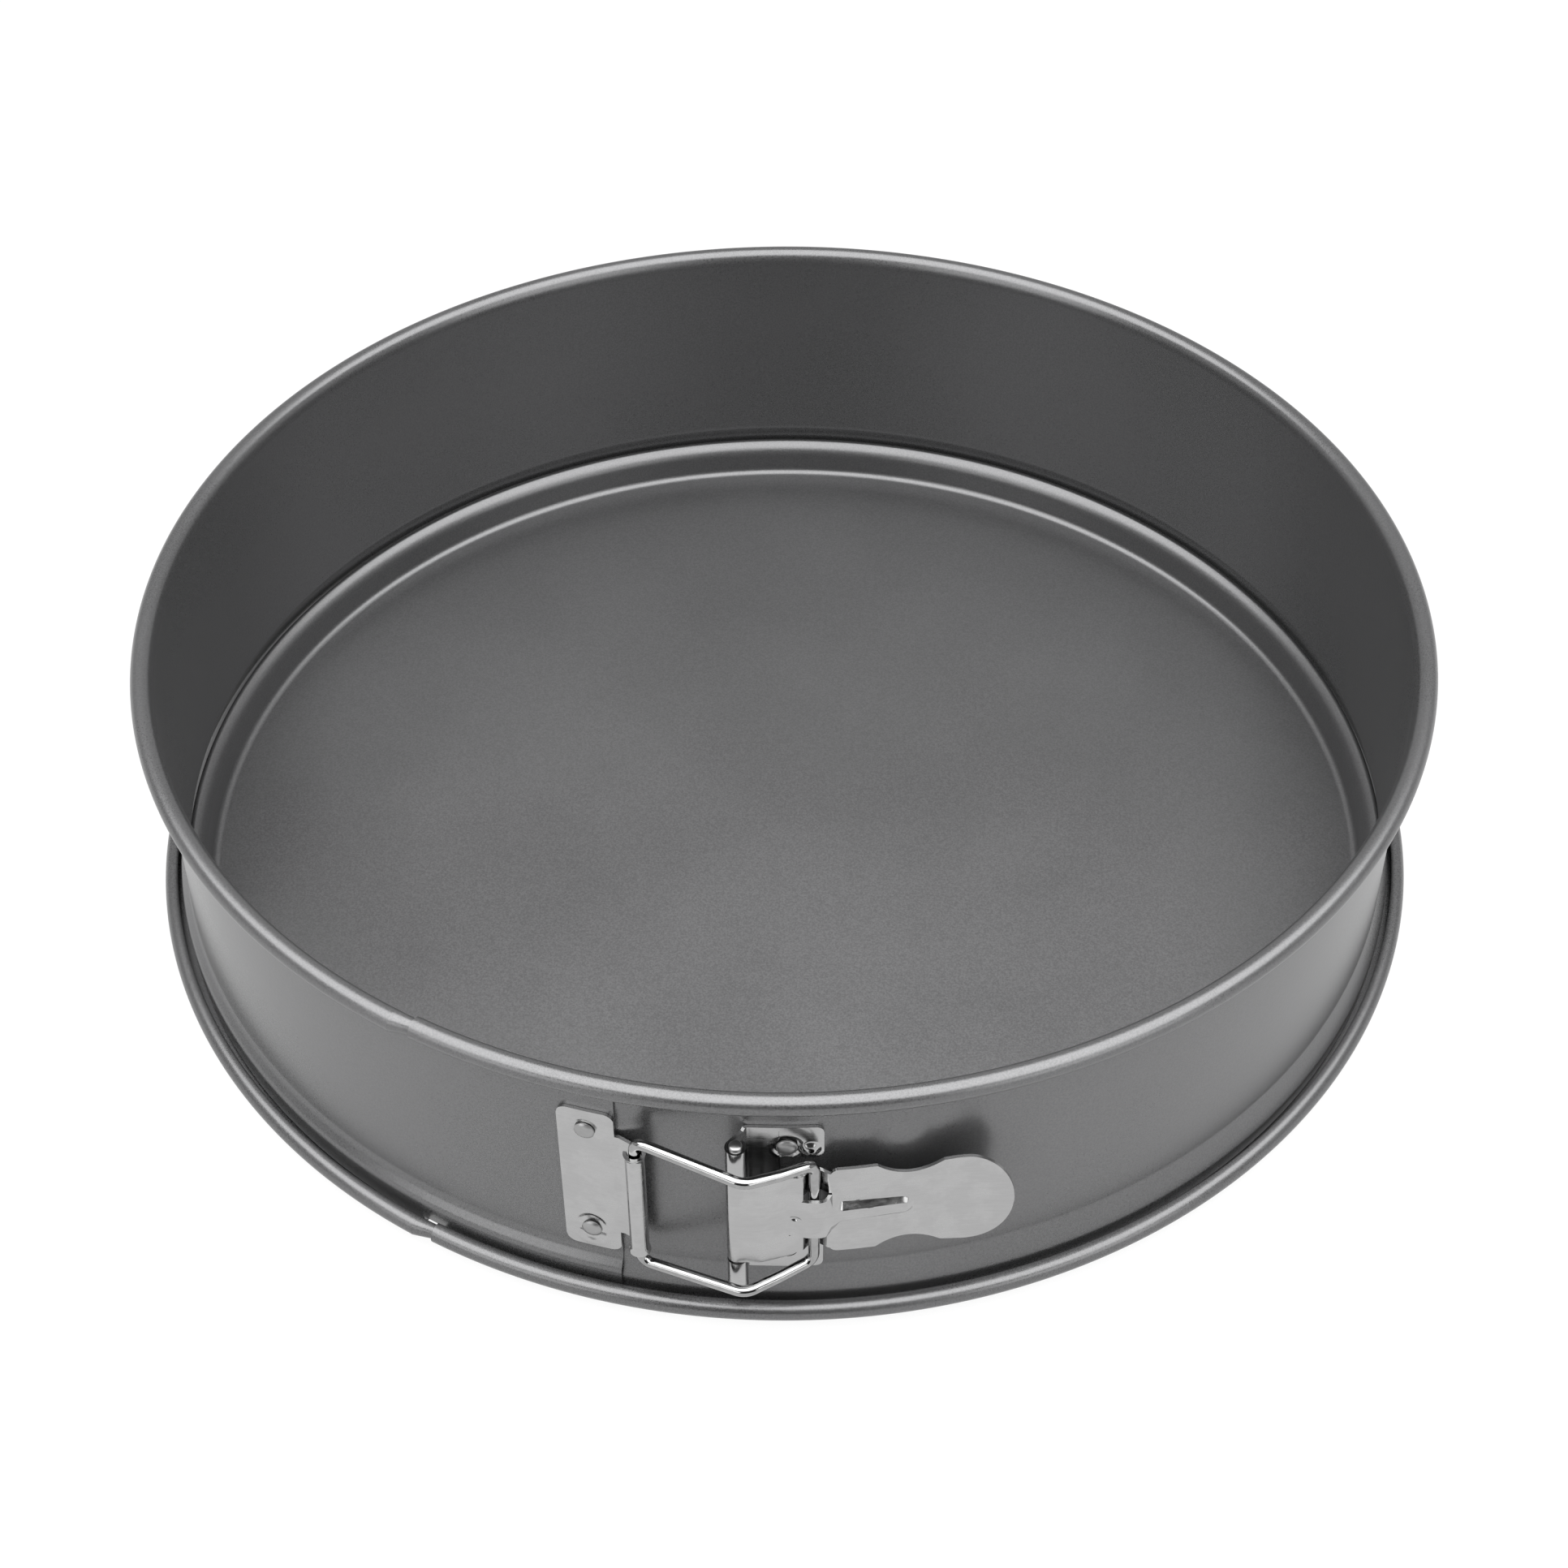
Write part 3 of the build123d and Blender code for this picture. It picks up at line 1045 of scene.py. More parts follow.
    rib_round: FloatProperty(
        name="Rib Round",
        description="Length of its round end",
        default=0.0028,
        unit="LENGTH",
    )
    rows_inside: IntProperty(
        name="Rows Inside",
        description="Rows of faces between the middle and a cut",
        default=28,
    )
    rows_outside: IntProperty(
        name="Rows Outside",
        description="Rows of faces past a cut",
        default=18,
    )


class Finishes(PropertyGroup):
    """Tones and roughness of the finishes"""

    coating: FloatVectorProperty(
        name="Coating",
        description="Colour of the non-stick coating",
        default=(0.135, 0.135, 0.137),
        subtype="COLOR",
    )
    plating: FloatVectorProperty(
        name="Plating",
        description="Colour of the plated sheet",
        default=(0.4, 0.4, 0.4),
        subtype="COLOR",
    )
    wire: FloatVectorProperty(
        name="Wire",
        description="Colour of the bright wire",
        default=(0.32, 0.32, 0.32),
        subtype="COLOR",
    )
    coating_metal: FloatProperty(
        name="Coating Metal",
        description="How metallic the coating looks",
        default=0.8,
        min=0.0,
        max=1.0,
    )
    coating_roughness: FloatProperty(
        name="Coating Roughness",
        description="Roughness of the coating",
        default=0.3,
        min=0.0,
        max=1.0,
    )
    plating_roughness: FloatProperty(
        name="Plating Roughness",
        description="Roughness of the plated sheet",
        default=0.2,
        min=0.0,
        max=1.0,
    )
    wire_roughness: FloatProperty(
        name="Wire Roughness",
        description="Roughness of the wire",
        default=0.09,
        min=0.0,
        max=1.0,
    )


class StageSettings(PropertyGroup):
    """Settings of the floor, the light and the camera"""

    sensor: FloatProperty(
        name="Sensor",
        description="Width of the camera's sensor in millimetres",
        default=36.0,
    )
    lens: FloatProperty(
        name="Lens",
        description="Focal length on a 36 mm sensor",
        default=64.21,
    )
    tilt: FloatProperty(
        name="Tilt",
        description="How far the camera looks down",
        default=math.radians(44.143),
        subtype="ANGLE",
    )
    roll: FloatProperty(
        name="Roll",
        description="Turn of the camera about its view",
        default=math.radians(-0.2142),
        subtype="ANGLE",
    )
    eye: FloatVectorProperty(
        name="Eye",
        description="Place of the camera",
        default=(-0.00028, -0.47883, 0.47782),
        subtype="TRANSLATION",
    )
    key_place: FloatVectorProperty(
        name="Key Place",
        description="Place of the large soft light",
        default=(-0.03, -0.22, 0.72),
        subtype="TRANSLATION",
    )
    key_target: FloatVectorProperty(
        name="Key Target",
        description="Point under the large soft light",
        default=(-0.03, -0.22, 0.0),
        subtype="TRANSLATION",
    )
    key_size: FloatVectorProperty(
        name="Key Size",
        description="Width and depth of the large soft light",
        default=(2.0, 1.15),
        size=2,
    )
    side_place: FloatVectorProperty(
        name="Side Place",
        description="Place of the right one of the low soft lights",
        default=(1.0, -1.1, 0.45),
        subtype="TRANSLATION",
    )
    side_target: FloatVectorProperty(
        name="Side Target",
        description="Point that the low soft lights face",
        default=(0.0, 0.0, 0.05),
        subtype="TRANSLATION",
    )
    side_size: FloatVectorProperty(
        name="Side Size",
        description="Width and height of the low soft lights",
        default=(1.0, 0.65),
        size=2,
    )
    floor_reach: FloatProperty(
        name="Floor Reach",
        description="Half the floor's width",
        default=40.0,
        unit="LENGTH",
    )
    floor_glow: FloatProperty(
        name="Floor Glow",
        description="How white the floor shows in the picture",
        default=0.92,
    )
    front_shade: FloatProperty(
        name="Front Shade",
        description="How dark the surround is low at the front",
        default=0.92,
    )
    side_power: FloatProperty(
        name="Side Power",
        description="Power of each low soft light at the sides",
        default=4.7,
    )
    key_power: FloatProperty(
        name="Key Power",
        description="Power of the large soft light",
        default=27.0,
    )
    surround: FloatProperty(
        name="Surround",
        description="Strength of the studio's surround",
        default=0.6,
    )



def arc(centre, radius, start, end, count):
    """Points along an arc between two angles in degrees."""
    points = []
    for step in range(count + 1):
        angle = math.radians(start + (end - start) * step / count)
        points.append(Vector((centre[0] + radius * math.cos(angle), centre[1] + radius * math.sin(angle))))
    return points


def rounded(corners, radii, count=8):
    """An open line with its inner corners rounded, flat or in space."""
    corners = [Vector(corner) for corner in corners]
    line = [corners[0]]
    for before, corner, after, radius in zip(corners, corners[1:], corners[2:], radii):
        back = (before - corner).normalized()
        ahead = (after - corner).normalized()
        half = math.acos(max(-1.0, min(1.0, back.dot(ahead)))) / 2
        middle = corner + (back + ahead).normalized() * radius / math.sin(half)
        first = corner + back * radius / math.tan(half) - middle
        last = corner + ahead * radius / math.tan(half) - middle
        sweep = math.pi - 2 * half
        for step in range(count + 1):
            share = step / count
            spread = math.sin((1 - share) * sweep) * first + math.sin(share * sweep) * last
            line.append(middle + spread / math.sin(sweep))
    line.append(corners[-1])
    return line


def shared_tangent(first, first_radius, second, second_radius):
    """Ends of a line along two circles, a radius counting positive on the line's left."""
    run = Vector(second) - Vector(first)
    lean = math.atan2(run.y, run.x) - math.asin((second_radius - first_radius) / run.length)
    side = Vector((math.sin(lean), -math.cos(lean)))
    return [Vector(centre) + side * radius for centre, radius in ((first, first_radius), (second, second_radius))]


def off_wall(tin, place):
    """Point in plan at a distance across and a stand-off from the band's inside."""
    return Vector((place[0], -math.sqrt((tin.inner_radius + place[1]) ** 2 - place[0] ** 2)))


def bearing(centre, point):
    """Direction in degrees from a centre to a point."""
    return math.degrees(math.atan2(point[1] - centre[1], point[0] - centre[0]))


def clean_line(line):
    """The line without points that fall together."""
    kept = [Vector(line[0])]
    for point in line[1:]:
        if (Vector(point) - kept[-1]).length > NEAR:
            kept.append(Vector(point))
    return kept


def right_sides(line):
    """Unit vectors to the right of a flat line at each point."""
    sides = []
    for index in range(len(line)):
        ahead = line[min(index + 1, len(line) - 1)] - line[index]
        behind = line[index] - line[max(index - 1, 0)]
        run = ahead.normalized() + behind.normalized()
        sides.append(Vector((run.y, -run.x)).normalized())
    return sides


def sheet_outline(line, thickness, turns=4):
    """Closed outline of a sheet along a line, its two ends rounded."""
    line = clean_line(line)
    sides = right_sides(line)
    half = thickness / 2
    right = [point + side * half for point, side in zip(line, sides)]
    left = [point - side * half for point, side in zip(line, sides)]
    ends = []
    for point, side in ((line[-1], sides[-1]), (line[0], -sides[0])):
        along = Vector((-side.y, side.x))
        ends.append(
            [
                point + (side * math.cos(turn) + along * math.sin(turn)) * half
                for turn in (math.pi * k / turns for k in range(1, turns))
            ]
        )
    return right + ends[0] + left[::-1] + ends[1]


def add_mesh(name, points, faces, smooth=35.0):
    """A shaded mesh object in the scene."""
    mesh = bpy.data.meshes.new(name)
    mesh.from_pydata([tuple(point) for point in points], [], faces)
    solid = bmesh.new()
    solid.from_mesh(mesh)
    bmesh.ops.recalc_face_normals(solid, faces=solid.faces[:])
    solid.to_mesh(mesh)
    solid.free()
    mesh.shade_smooth()
    mesh.set_sharp_from_angle(angle=math.radians(smooth))
    made = bpy.data.objects.new(name, mesh)
    bpy.context.scene.collection.objects.link(made)
    return made


def loft(loops, closed=False):
    """Points and faces between closed loops with equal counts."""
    count = len(loops[0])
    points = [point for loop in loops for point in loop]
    faces = []
    spans = len(loops) if closed else len(loops) - 1
    for span in range(spans):
        here = span * count
        there = (span + 1) % len(loops) * count
        for k in range(count):
            after = (k + 1) % count
            faces.append((here + k, here + after, there + after, there + k))
    if not closed:
        faces.append(tuple(range(count)))
        faces.append(tuple(range(len(points) - count, len(points))))
    return points, faces


def ring_loops(outline_at, start, end, step, shift=0.0):
    """The upright outline at each angle of its sweep about the tin's axis."""
    count = max(2, round((end - start) / step))
    loops = []
    for index in range(count + 1):
        share = index / count
        angle = start + (end - start) * share
        across, ahead = math.sin(angle), -math.cos(angle)
        loops.append([(point.x * across, shift + point.x * ahead, point.y) for point in outline_at(share)])
    return loops


def tube(line, radius, sides=28):
    """Loops of a round wire along a line in space."""
    line = clean_line(line)
    loops = []
    across = None
    for index, point in enumerate(line):
        run = line[min(index + 1, len(line) - 1)] - line[max(index - 1, 0)]
        run.normalize()
        if across is None:
            across = run.orthogonal().normalized()
        across = (across - run * across.dot(run)).normalized()
        other = run.cross(across)
        loops.append(
            [
                point + (across * math.cos(turn) + other * math.sin(turn)) * radius
                for turn in (math.tau * k / sides for k in range(sides))
            ]
        )
    return loops


def lathe(profile, place, sides=40):
    """Loops of a turned piece; the profile gives radius and height."""
    loops = []
    for radius, height in profile:
        loops.append(
            [
                place @ Vector((radius * math.cos(turn), radius * math.sin(turn), height))
                for turn in (math.tau * k / sides for k in range(sides))
            ]
        )
    return loops


def on_ring(radius, angle, shift=0.0):
    """Point in plan at a radius and an angle from the front."""
    return Vector((radius * math.sin(angle), shift - radius * math.cos(angle)))


def ring_arc(radius, start, end, count, shift=0.0):
    """Points in plan along the wall between two angles from the front."""
    return [on_ring(radius, start + (end - start) * k / count, shift) for k in range(count + 1)]


def outward(radius, angle, height, shift=0.0):
    """Placement on the wall with Z pointing straight out."""
    point = on_ring(radius, angle, shift)
    across = Vector((math.cos(angle), math.sin(angle), 0.0))
    out = Vector((math.sin(angle), -math.cos(angle), 0.0))
    up = out.cross(across)
    turn = Matrix((across, up, out)).transposed().to_4x4()
    return Matrix.Translation((point.x, point.y, height)) @ turn


def resample(line, step):
    """The line with extra points no further apart than a step."""
    line = clean_line(line)
    fine = [line[0]]
    for first, last in zip(line, line[1:]):
        count = max(1, math.ceil((last - first).length / step))
        for k in range(1, count + 1):
            fine.append(first.lerp(last, k / count))
    return fine


def pressed(name, line, span, thickness, place=None, hole=None):
    """Pressed sheet standing on a line in plan, its front to the right.

    span gives the list of heights at a point, place how far the sheet is
    moved in plan there, hole whether a cell between rows is cut out.
    """
    line = clean_line(line)
    heights = [span(point) for point in line]
    across = len(heights[0])
    rows = []
    for j in range(across):
        row = [point + place(point, heights[i][j]) if place else point for i, point in enumerate(line)]
        rows.append(list(zip(row, right_sides(row))))
    front = []
    back = []
    for i in range(len(line)):
        for j in range(across):
            point, side = rows[j][i]
            near = point + side * thickness / 2
            far = point - side * thickness / 2
            front.append((near.x, near.y, heights[i][j]))
            back.append((far.x, far.y, heights[i][j]))
    total = len(front)
    faces = []
    edges = {}
    for i in range(len(line) - 1):
        for j in range(across - 1):
            if hole and hole((line[i] + line[i + 1]) / 2, (heights[i][j] + heights[i][j + 1]) / 2):
                continue
            corners = (i * across + j, (i + 1) * across + j, (i + 1) * across + j + 1, i * across + j + 1)
            faces.append(corners)
            faces.append(tuple(total + c for c in reversed(corners)))
            for first, last in zip(corners, corners[1:] + corners[:1]):
                if (last, first) in edges:
                    del edges[(last, first)]
                else:
                    edges[(first, last)] = True
    for first, last in edges:
        faces.append((last, first, total + first, total + last))
    return add_mesh(name, front + back, faces)


def soften(made, width=0.0001):
    """Rounds the rims of a pressed sheet."""
    bevel = made.modifiers.new("rim", "BEVEL")
    bevel.width = width
    bevel.segments = 2
    bevel.limit_method = "ANGLE"
    bevel.angle_limit = math.radians(50)
    bevel.harden_normals = True
    return made


class Signal:
    """A number, colour or vector travelling through a shader."""

    def __init__(self, shader, socket):
        self.shader = shader
        self.socket = socket

    def math(self, operation, first, second):
        """One step of arithmetic."""
        return self.shader.node("ShaderNodeMath", {"operation": operation}, {0: first, 1: second})

    def __add__(self, other):
        return self.math("ADD", self, other)

    def __mul__(self, other):
        return self.math("MULTIPLY", self, other)

    def __sub__(self, other):
        return self.math("SUBTRACT", self, other)

    def __rsub__(self, other):
        return self.math("SUBTRACT", other, self)

    __radd__ = __add__
    __rmul__ = __mul__

    def at_most(self, limit):
        """The smaller of it and a limit."""
        return self.math("MINIMUM", self, limit)

    def ramp(self, low, high, first=0.0, last=1.0):
        """Maps low..high smoothly onto first..last."""
        return self.shader.node(
            "ShaderNodeMapRange",
            {"interpolation_type": "SMOOTHSTEP"},
            {"Value": self, "From Min": low, "From Max": high, "To Min": first, "To Max": last},
        )


class Shader:
    """The nodes of a material or of the world, emptied and built anew."""

    def __init__(self, owner):
        owner.use_nodes = True
        self.tree = owner.node_tree
        self.tree.nodes.clear()

    def node(self, kind, settings=None, inputs=None, output=0):
        """Adds a node, its settings first, and returns one of its outputs."""
        node = self.tree.nodes.new(kind)
        for key, value in (settings or {}).items():
            setattr(node, key, value)
        for key, value in (inputs or {}).items():
            if isinstance(value, Signal):
                self.tree.links.new(value.socket, node.inputs[key])
            else:
                node.inputs[key].default_value = value
        return Signal(self, node.outputs[output]) if node.outputs else None

    def place(self, kind):
        """Where each point lies."""
        return self.node("ShaderNodeTexCoord", output=kind)

    def mixed(self, share, first, last):
        """Mixes two colours."""
        inputs = {"Factor": share, MIX_FIRST_COLOUR: first, MIX_LAST_COLOUR: last}
        return self.node("ShaderNodeMix", {"data_type": "RGBA"}, inputs, MIX_COLOUR)

    def grain(self, where, scale, detail=2.0, roughness=0.5):
        """Noise of a given fineness."""
        inputs = {"Vector": where, "Scale": scale, "Detail": detail, "Roughness": roughness}
        return self.node("ShaderNodeTexNoise", inputs=inputs)

    def stretched(self, where, scale):
        """Coordinates stretched along the axes."""
        return self.node("ShaderNodeVectorMath", {"operation": "MULTIPLY"}, {0: where, 1: scale})

    def bump(self, height, distance):
        """Relief of a given height in metres."""
        inputs = {"Height": height, "Distance": distance, "Strength": 1.0}
        return self.node("ShaderNodeBump", inputs=inputs)

    def surface(self, colour, metallic, roughness, normal):
        """The surface that the material shows."""
        inputs = {"Base Color": colour, "Metallic": metallic, "Roughness": roughness, "Normal": normal}
        made = self.node("ShaderNodeBsdfPrincipled", inputs=inputs)
        self.node("ShaderNodeOutputMaterial", inputs={"Surface": made})


def new_material(name):
    """An empty material, its shader and the place on the piece."""
    made = bpy.data.materials.new(name)
    shader = Shader(made)
    return made, shader, shader.place("Object")


def rgba(colour, share=1.0):
    """A colour made lighter or darker, with full cover."""
    return (colour[0] * share, colour[1] * share, colour[2] * share, 1.0)


def coated_steel(name, finish, rough=0.0):
    """Non-stick coating: satin, finely speckled and faintly clouded."""
    made, shader, where = new_material(name)
    speckle = shader.grain(where, scale=2600.0, roughness=0.6)
    cloud = shader.grain(where, scale=14.0, detail=3.0)
    skin = shader.grain(where, scale=900.0)
    share = speckle.ramp(0.3, 0.7) * 0.8 + cloud.ramp(0.35, 0.65) * 0.2
    colour = shader.mixed(share, rgba(finish.coating, 0.86), rgba(finish.coating, 1.14))
    roughness = speckle.ramp(0.3, 0.7, -0.03, 0.03) + cloud.ramp(0.3, 0.7, -0.02, 0.02)
    roughness = roughness + finish.coating_roughness + rough
    relief = shader.bump(skin + speckle * 0.5, 0.000012)
    shader.surface(colour, finish.coating_metal, roughness, relief)
    return made


def plated_sheet(name, finish, tone=1.0, rough=0.0):
    """Bright plating with faint stains and rubbing marks."""
    made, shader, where = new_material(name)
    stain = shader.grain(where, scale=150.0, detail=4.0, roughness=0.65)
    rub = shader.grain(shader.stretched(where, (260.0, 260.0, 2600.0)), scale=1.0, detail=3.0)
    wave = shader.grain(where, scale=160.0, detail=1.0)
    share = stain.ramp(0.42, 0.62) * 0.65 + rub.ramp(0.3, 0.7) * 0.35
    colour = shader.mixed(share, rgba(finish.plating, 0.94 * tone), rgba(finish.plating, 1.05 * tone))
    roughness = stain.ramp(0.4, 0.65, -0.04, 0.06) + rub.ramp(0.3, 0.7, -0.03, 0.03)
    roughness = roughness + finish.plating_roughness + rough
    relief = shader.bump(wave * 0.6 + rub * 0.01, 0.00003)
    shader.surface(colour, 1.0, roughness, relief)
    return made


def bright_wire(name, finish):
    """Bright drawn wire with faint lengthwise marks."""
    made, shader, where = new_material(name)
    drawn = shader.grain(where, scale=700.0)
    marks = shader.grain(where, scale=3200.0)
    colour = shader.mixed(drawn.ramp(0.3, 0.7), rgba(finish.wire, 0.93), rgba(finish.wire, 1.05))
    roughness = marks.ramp(0.35, 0.7, -0.02, 0.05) + finish.wire_roughness
    relief = shader.bump(drawn + marks * 0.3, 0.00001)
    shader.surface(colour, 1.0, roughness, relief)
    return made


def dress(made, material, body, slot, *nodes):
    """Gives a piece its finish, its body and the nodes it stands for."""
    made.data.materials.clear()
    made.data.materials.append(material)
    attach(made, body)
    if nodes:
        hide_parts(*nodes)


def flare(tin, wall, swell):
    """The wall's corners above the lower bead; a swell of 1 makes the step short and steep."""
    return [
        (wall, tin.flare_top - tin.swell_drop * swell),
        (wall + tin.flare_out, tin.flare_waist + tin.swell_rise * swell),
    ]


def top_line(tin, grow, nest, end):
    """Middle line of the top bead and the throat under it."""
    curl = tin.bead_radius - tin.band_sheet / 2
    run = tin.throat - curl
    middle = tin.inner_radius + tin.band_sheet / 2 + grow + tin.throat - nest
    height = tin.band_foot + tin.band_height - tin.bead_radius
    turn = 180 - math.degrees(tin.throat_turn)
    centre = (middle - run * math.cos(tin.throat_turn), height)
    line = arc(centre, curl - nest, end, turn, 44)
    line += arc((middle, height - run * math.sin(tin.throat_turn)), tin.throat - nest, turn, 180, 10)[1:]
    return line


def foot_line(tin, grow, nest):
    """Middle line of the lower bead."""
    curl = tin.bead_radius - tin.band_sheet / 2
    centre = (tin.inner_radius + tin.foot_bead_out + grow - nest, tin.band_foot + tin.bead_radius)
    return arc(centre, curl - nest, FOOT_CURL_START, FOOT_CURL_END, 32)


def full_line(tin, grow, swell=0.0):
    """Middle line of the band's section, from the upper curl to the lower."""
    wall = tin.inner_radius + tin.band_sheet / 2 + grow
    low = tin.band_foot + tin.band_sheet / 2
    high = low + 2 * tin.hem_fold
    hem = tin.inner_radius + tin.hem_edge + grow
    line = top_line(tin, grow, 0.0, TOP_CURL_END)
    line += rounded(
        [
            line[-1],
            *flare(tin, wall, swell),
            (wall + tin.groove_out, high),
            (hem, high),
        ],
        [tin.flare_bend, tin.waist_bend, tin.groove_bend],
    )
    line += arc((hem, low + tin.hem_fold), tin.hem_fold, 90, 270, 8)
    return line + foot_line(tin, grow, 0.0)


def lap_line(tin, grow, nest):
    """Middle line of the outer end, its bead narrowed to slip into the other."""
    wall = tin.inner_radius + tin.band_sheet / 2 + grow
    line = top_line(tin, grow, nest, between(TOP_CURL_END, NESTED_CURL_END, nest / lap_nest(tin)))
    line += rounded(
        [
            line[-1],
            *flare(tin, wall, 1.0),
            (wall + tin.tuck_out, tin.tuck_height),
        ],
        [tin.flare_bend, tin.waist_bend],
    )
    return line


def lap_nest(tin):
    """How much smaller the outer end's beads are inside the inner end's."""
    return tin.band_sheet + tin.lap_gap


def lap_offset(tin):
    """How far the outer end's wall stands outside the inner one's."""
    return lap_nest(tin) / 2


class TIN_OT_band(Operator):
    """Builds the sprung band in two halves that meet at the back"""

    bl_idname = "tin.band"
    bl_label = "Band"

    def execute(self, context):
        scene = context.scene
        tin = scene.tin_sizes
        coating = coated_steel("band_coating", scene.tin_finishes)
        step = math.radians(1.0)
        fine = math.radians(0.25)
        offset = lap_offset(tin)
        nest = lap_nest(tin)
        end = math.asin(tin.outer_end / (tin.inner_radius + tin.band_sheet + offset))

        def strip(name, body, line_at, start, stop, width, shift):
            def outline_at(share):
                return sheet_outline(line_at(share), tin.band_sheet)

            made = add_mesh(name, *loft(ring_loops(outline_at, start, stop, width, shift)))
            dress(made, coating, body, "band_coating", "band")

        strip(
            "band_inner_half",
            "ring",
            lambda share: full_line(tin, 0.0),
            tin.inner_end,
            math.pi,
            step,
            0.0,
        )
        strip(
            "band_outer_half",
            "keeper_end",
            lambda share: full_line(tin, offset, smooth_step(share, SWELL_START, SWELL_FULL)),
            math.pi,
            math.tau + tin.full_bead_end,
            step,
            -offset,
        )
        strip(
            "band_taper",
            "keeper_end",
            lambda share: lap_line(tin, offset, nest * share),
            tin.full_bead_end,
            tin.inner_end,
            fine,
            -offset,
        )
        strip(
            "band_lap",
            "keeper_end",
            lambda share: lap_line(tin, offset, nest),
            tin.inner_end,
            end,
            step,
            -offset,
        )
        strip(
            "band_foot_taper",
            "keeper_end",
            lambda share: foot_line(tin, offset, nest * share),
            tin.full_bead_end,
            tin.inner_end,
            fine,
            -offset,
        )
        strip(
            "band_spigot",
            "keeper_end",
            lambda share: foot_line(tin, offset, nest),
            tin.inner_end,
            tin.spigot_end,
            step,
            -offset,
        )
        return {"FINISHED"}


class TIN_OT_base(Operator):
    """Builds the dished base plate with its rolled rim"""

    bl_idname = "tin.base"
    bl_label = "Base Plate"

    def execute(self, context):
        scene = context.scene
        tin = scene.tin_sizes
        centre = Vector((tin.inner_radius + tin.rim_inset, tin.rim_height))
        start = 180 - math.degrees(tin.shoulder_top)
        end = 180 - math.degrees(tin.side_lean)
        out = Vector((math.cos(math.radians(start)), math.sin(math.radians(start))))
        middle = centre - out * (tin.shoulder - tin.rim_radius)
        side = arc(middle, tin.shoulder - tin.base_sheet / 2, end, start, 14)
        low = tin.base_sheet / 2
        floor = side[0].x - (side[0].y - low) * math.tan(tin.side_lean)
        line = rounded([(tin.floor_eye, low), (floor, low), side[0]], [tin.floor_bend], 10)
        line += side[1:]
        line += arc(centre, tin.rim_radius - tin.base_sheet / 2, start, RIM_CURL_END, 40)[1:]
        outline = sheet_outline(line, tin.base_sheet)
        step = math.radians(1.0)
        loops = ring_loops(lambda share: outline, 0.0, math.tau - step, step)
        points, faces = loft(loops, closed=True)
        for height in (0.0, tin.base_sheet):
            loop = [
                index
                for index, point in enumerate(points)
                if Vector(point[:2]).length < tin.floor_eye + 10 * NEAR and abs(point[2] - height) < NEAR
            ]
            faces.append(tuple(loop))
        made = add_mesh("base_dish", points, faces)
        coating = coated_steel("base_coating", scene.tin_finishes, rough=0.03)
        dress(made, coating, "base", "base_coating", "base_plate")
        return {"FINISHED"}


def even(low, high, rows):
    """Evenly spaced heights with a number of rows between them."""
    return [low + (high - low) * k / rows for k in range(rows + 1)]


def corner_half(x, left, right, half, radius):
    """Half height of a plate with rounded corners at a distance along it."""
    near = min(x - left, right - x)
    if near >= radius:
        return half
    near = max(near, 0.0)
    return half - radius + math.sqrt(max(0.0, radius**2 - (radius - near) ** 2))


def smooth_step(value, start, end):
    """0 at start and 1 at end, easing between."""
    share = max(0.0, min(1.0, (value - start) / (end - start)))
    return share * share * (3 - 2 * share)


def between(low, high, value):
    """A value between two others by share."""
    return low + (high - low) * value


def height_on(line, x):
    """Second coordinate of a flat line at a distance across."""
    for first, last in zip(line, line[1:]):
        if first.x <= x <= last.x and last.x > first.x:
            return first.y + (last.y - first.y) * (x - first.x) / (last.x - first.x)
    return line[-1].y if x > line[-1].x else line[0].y


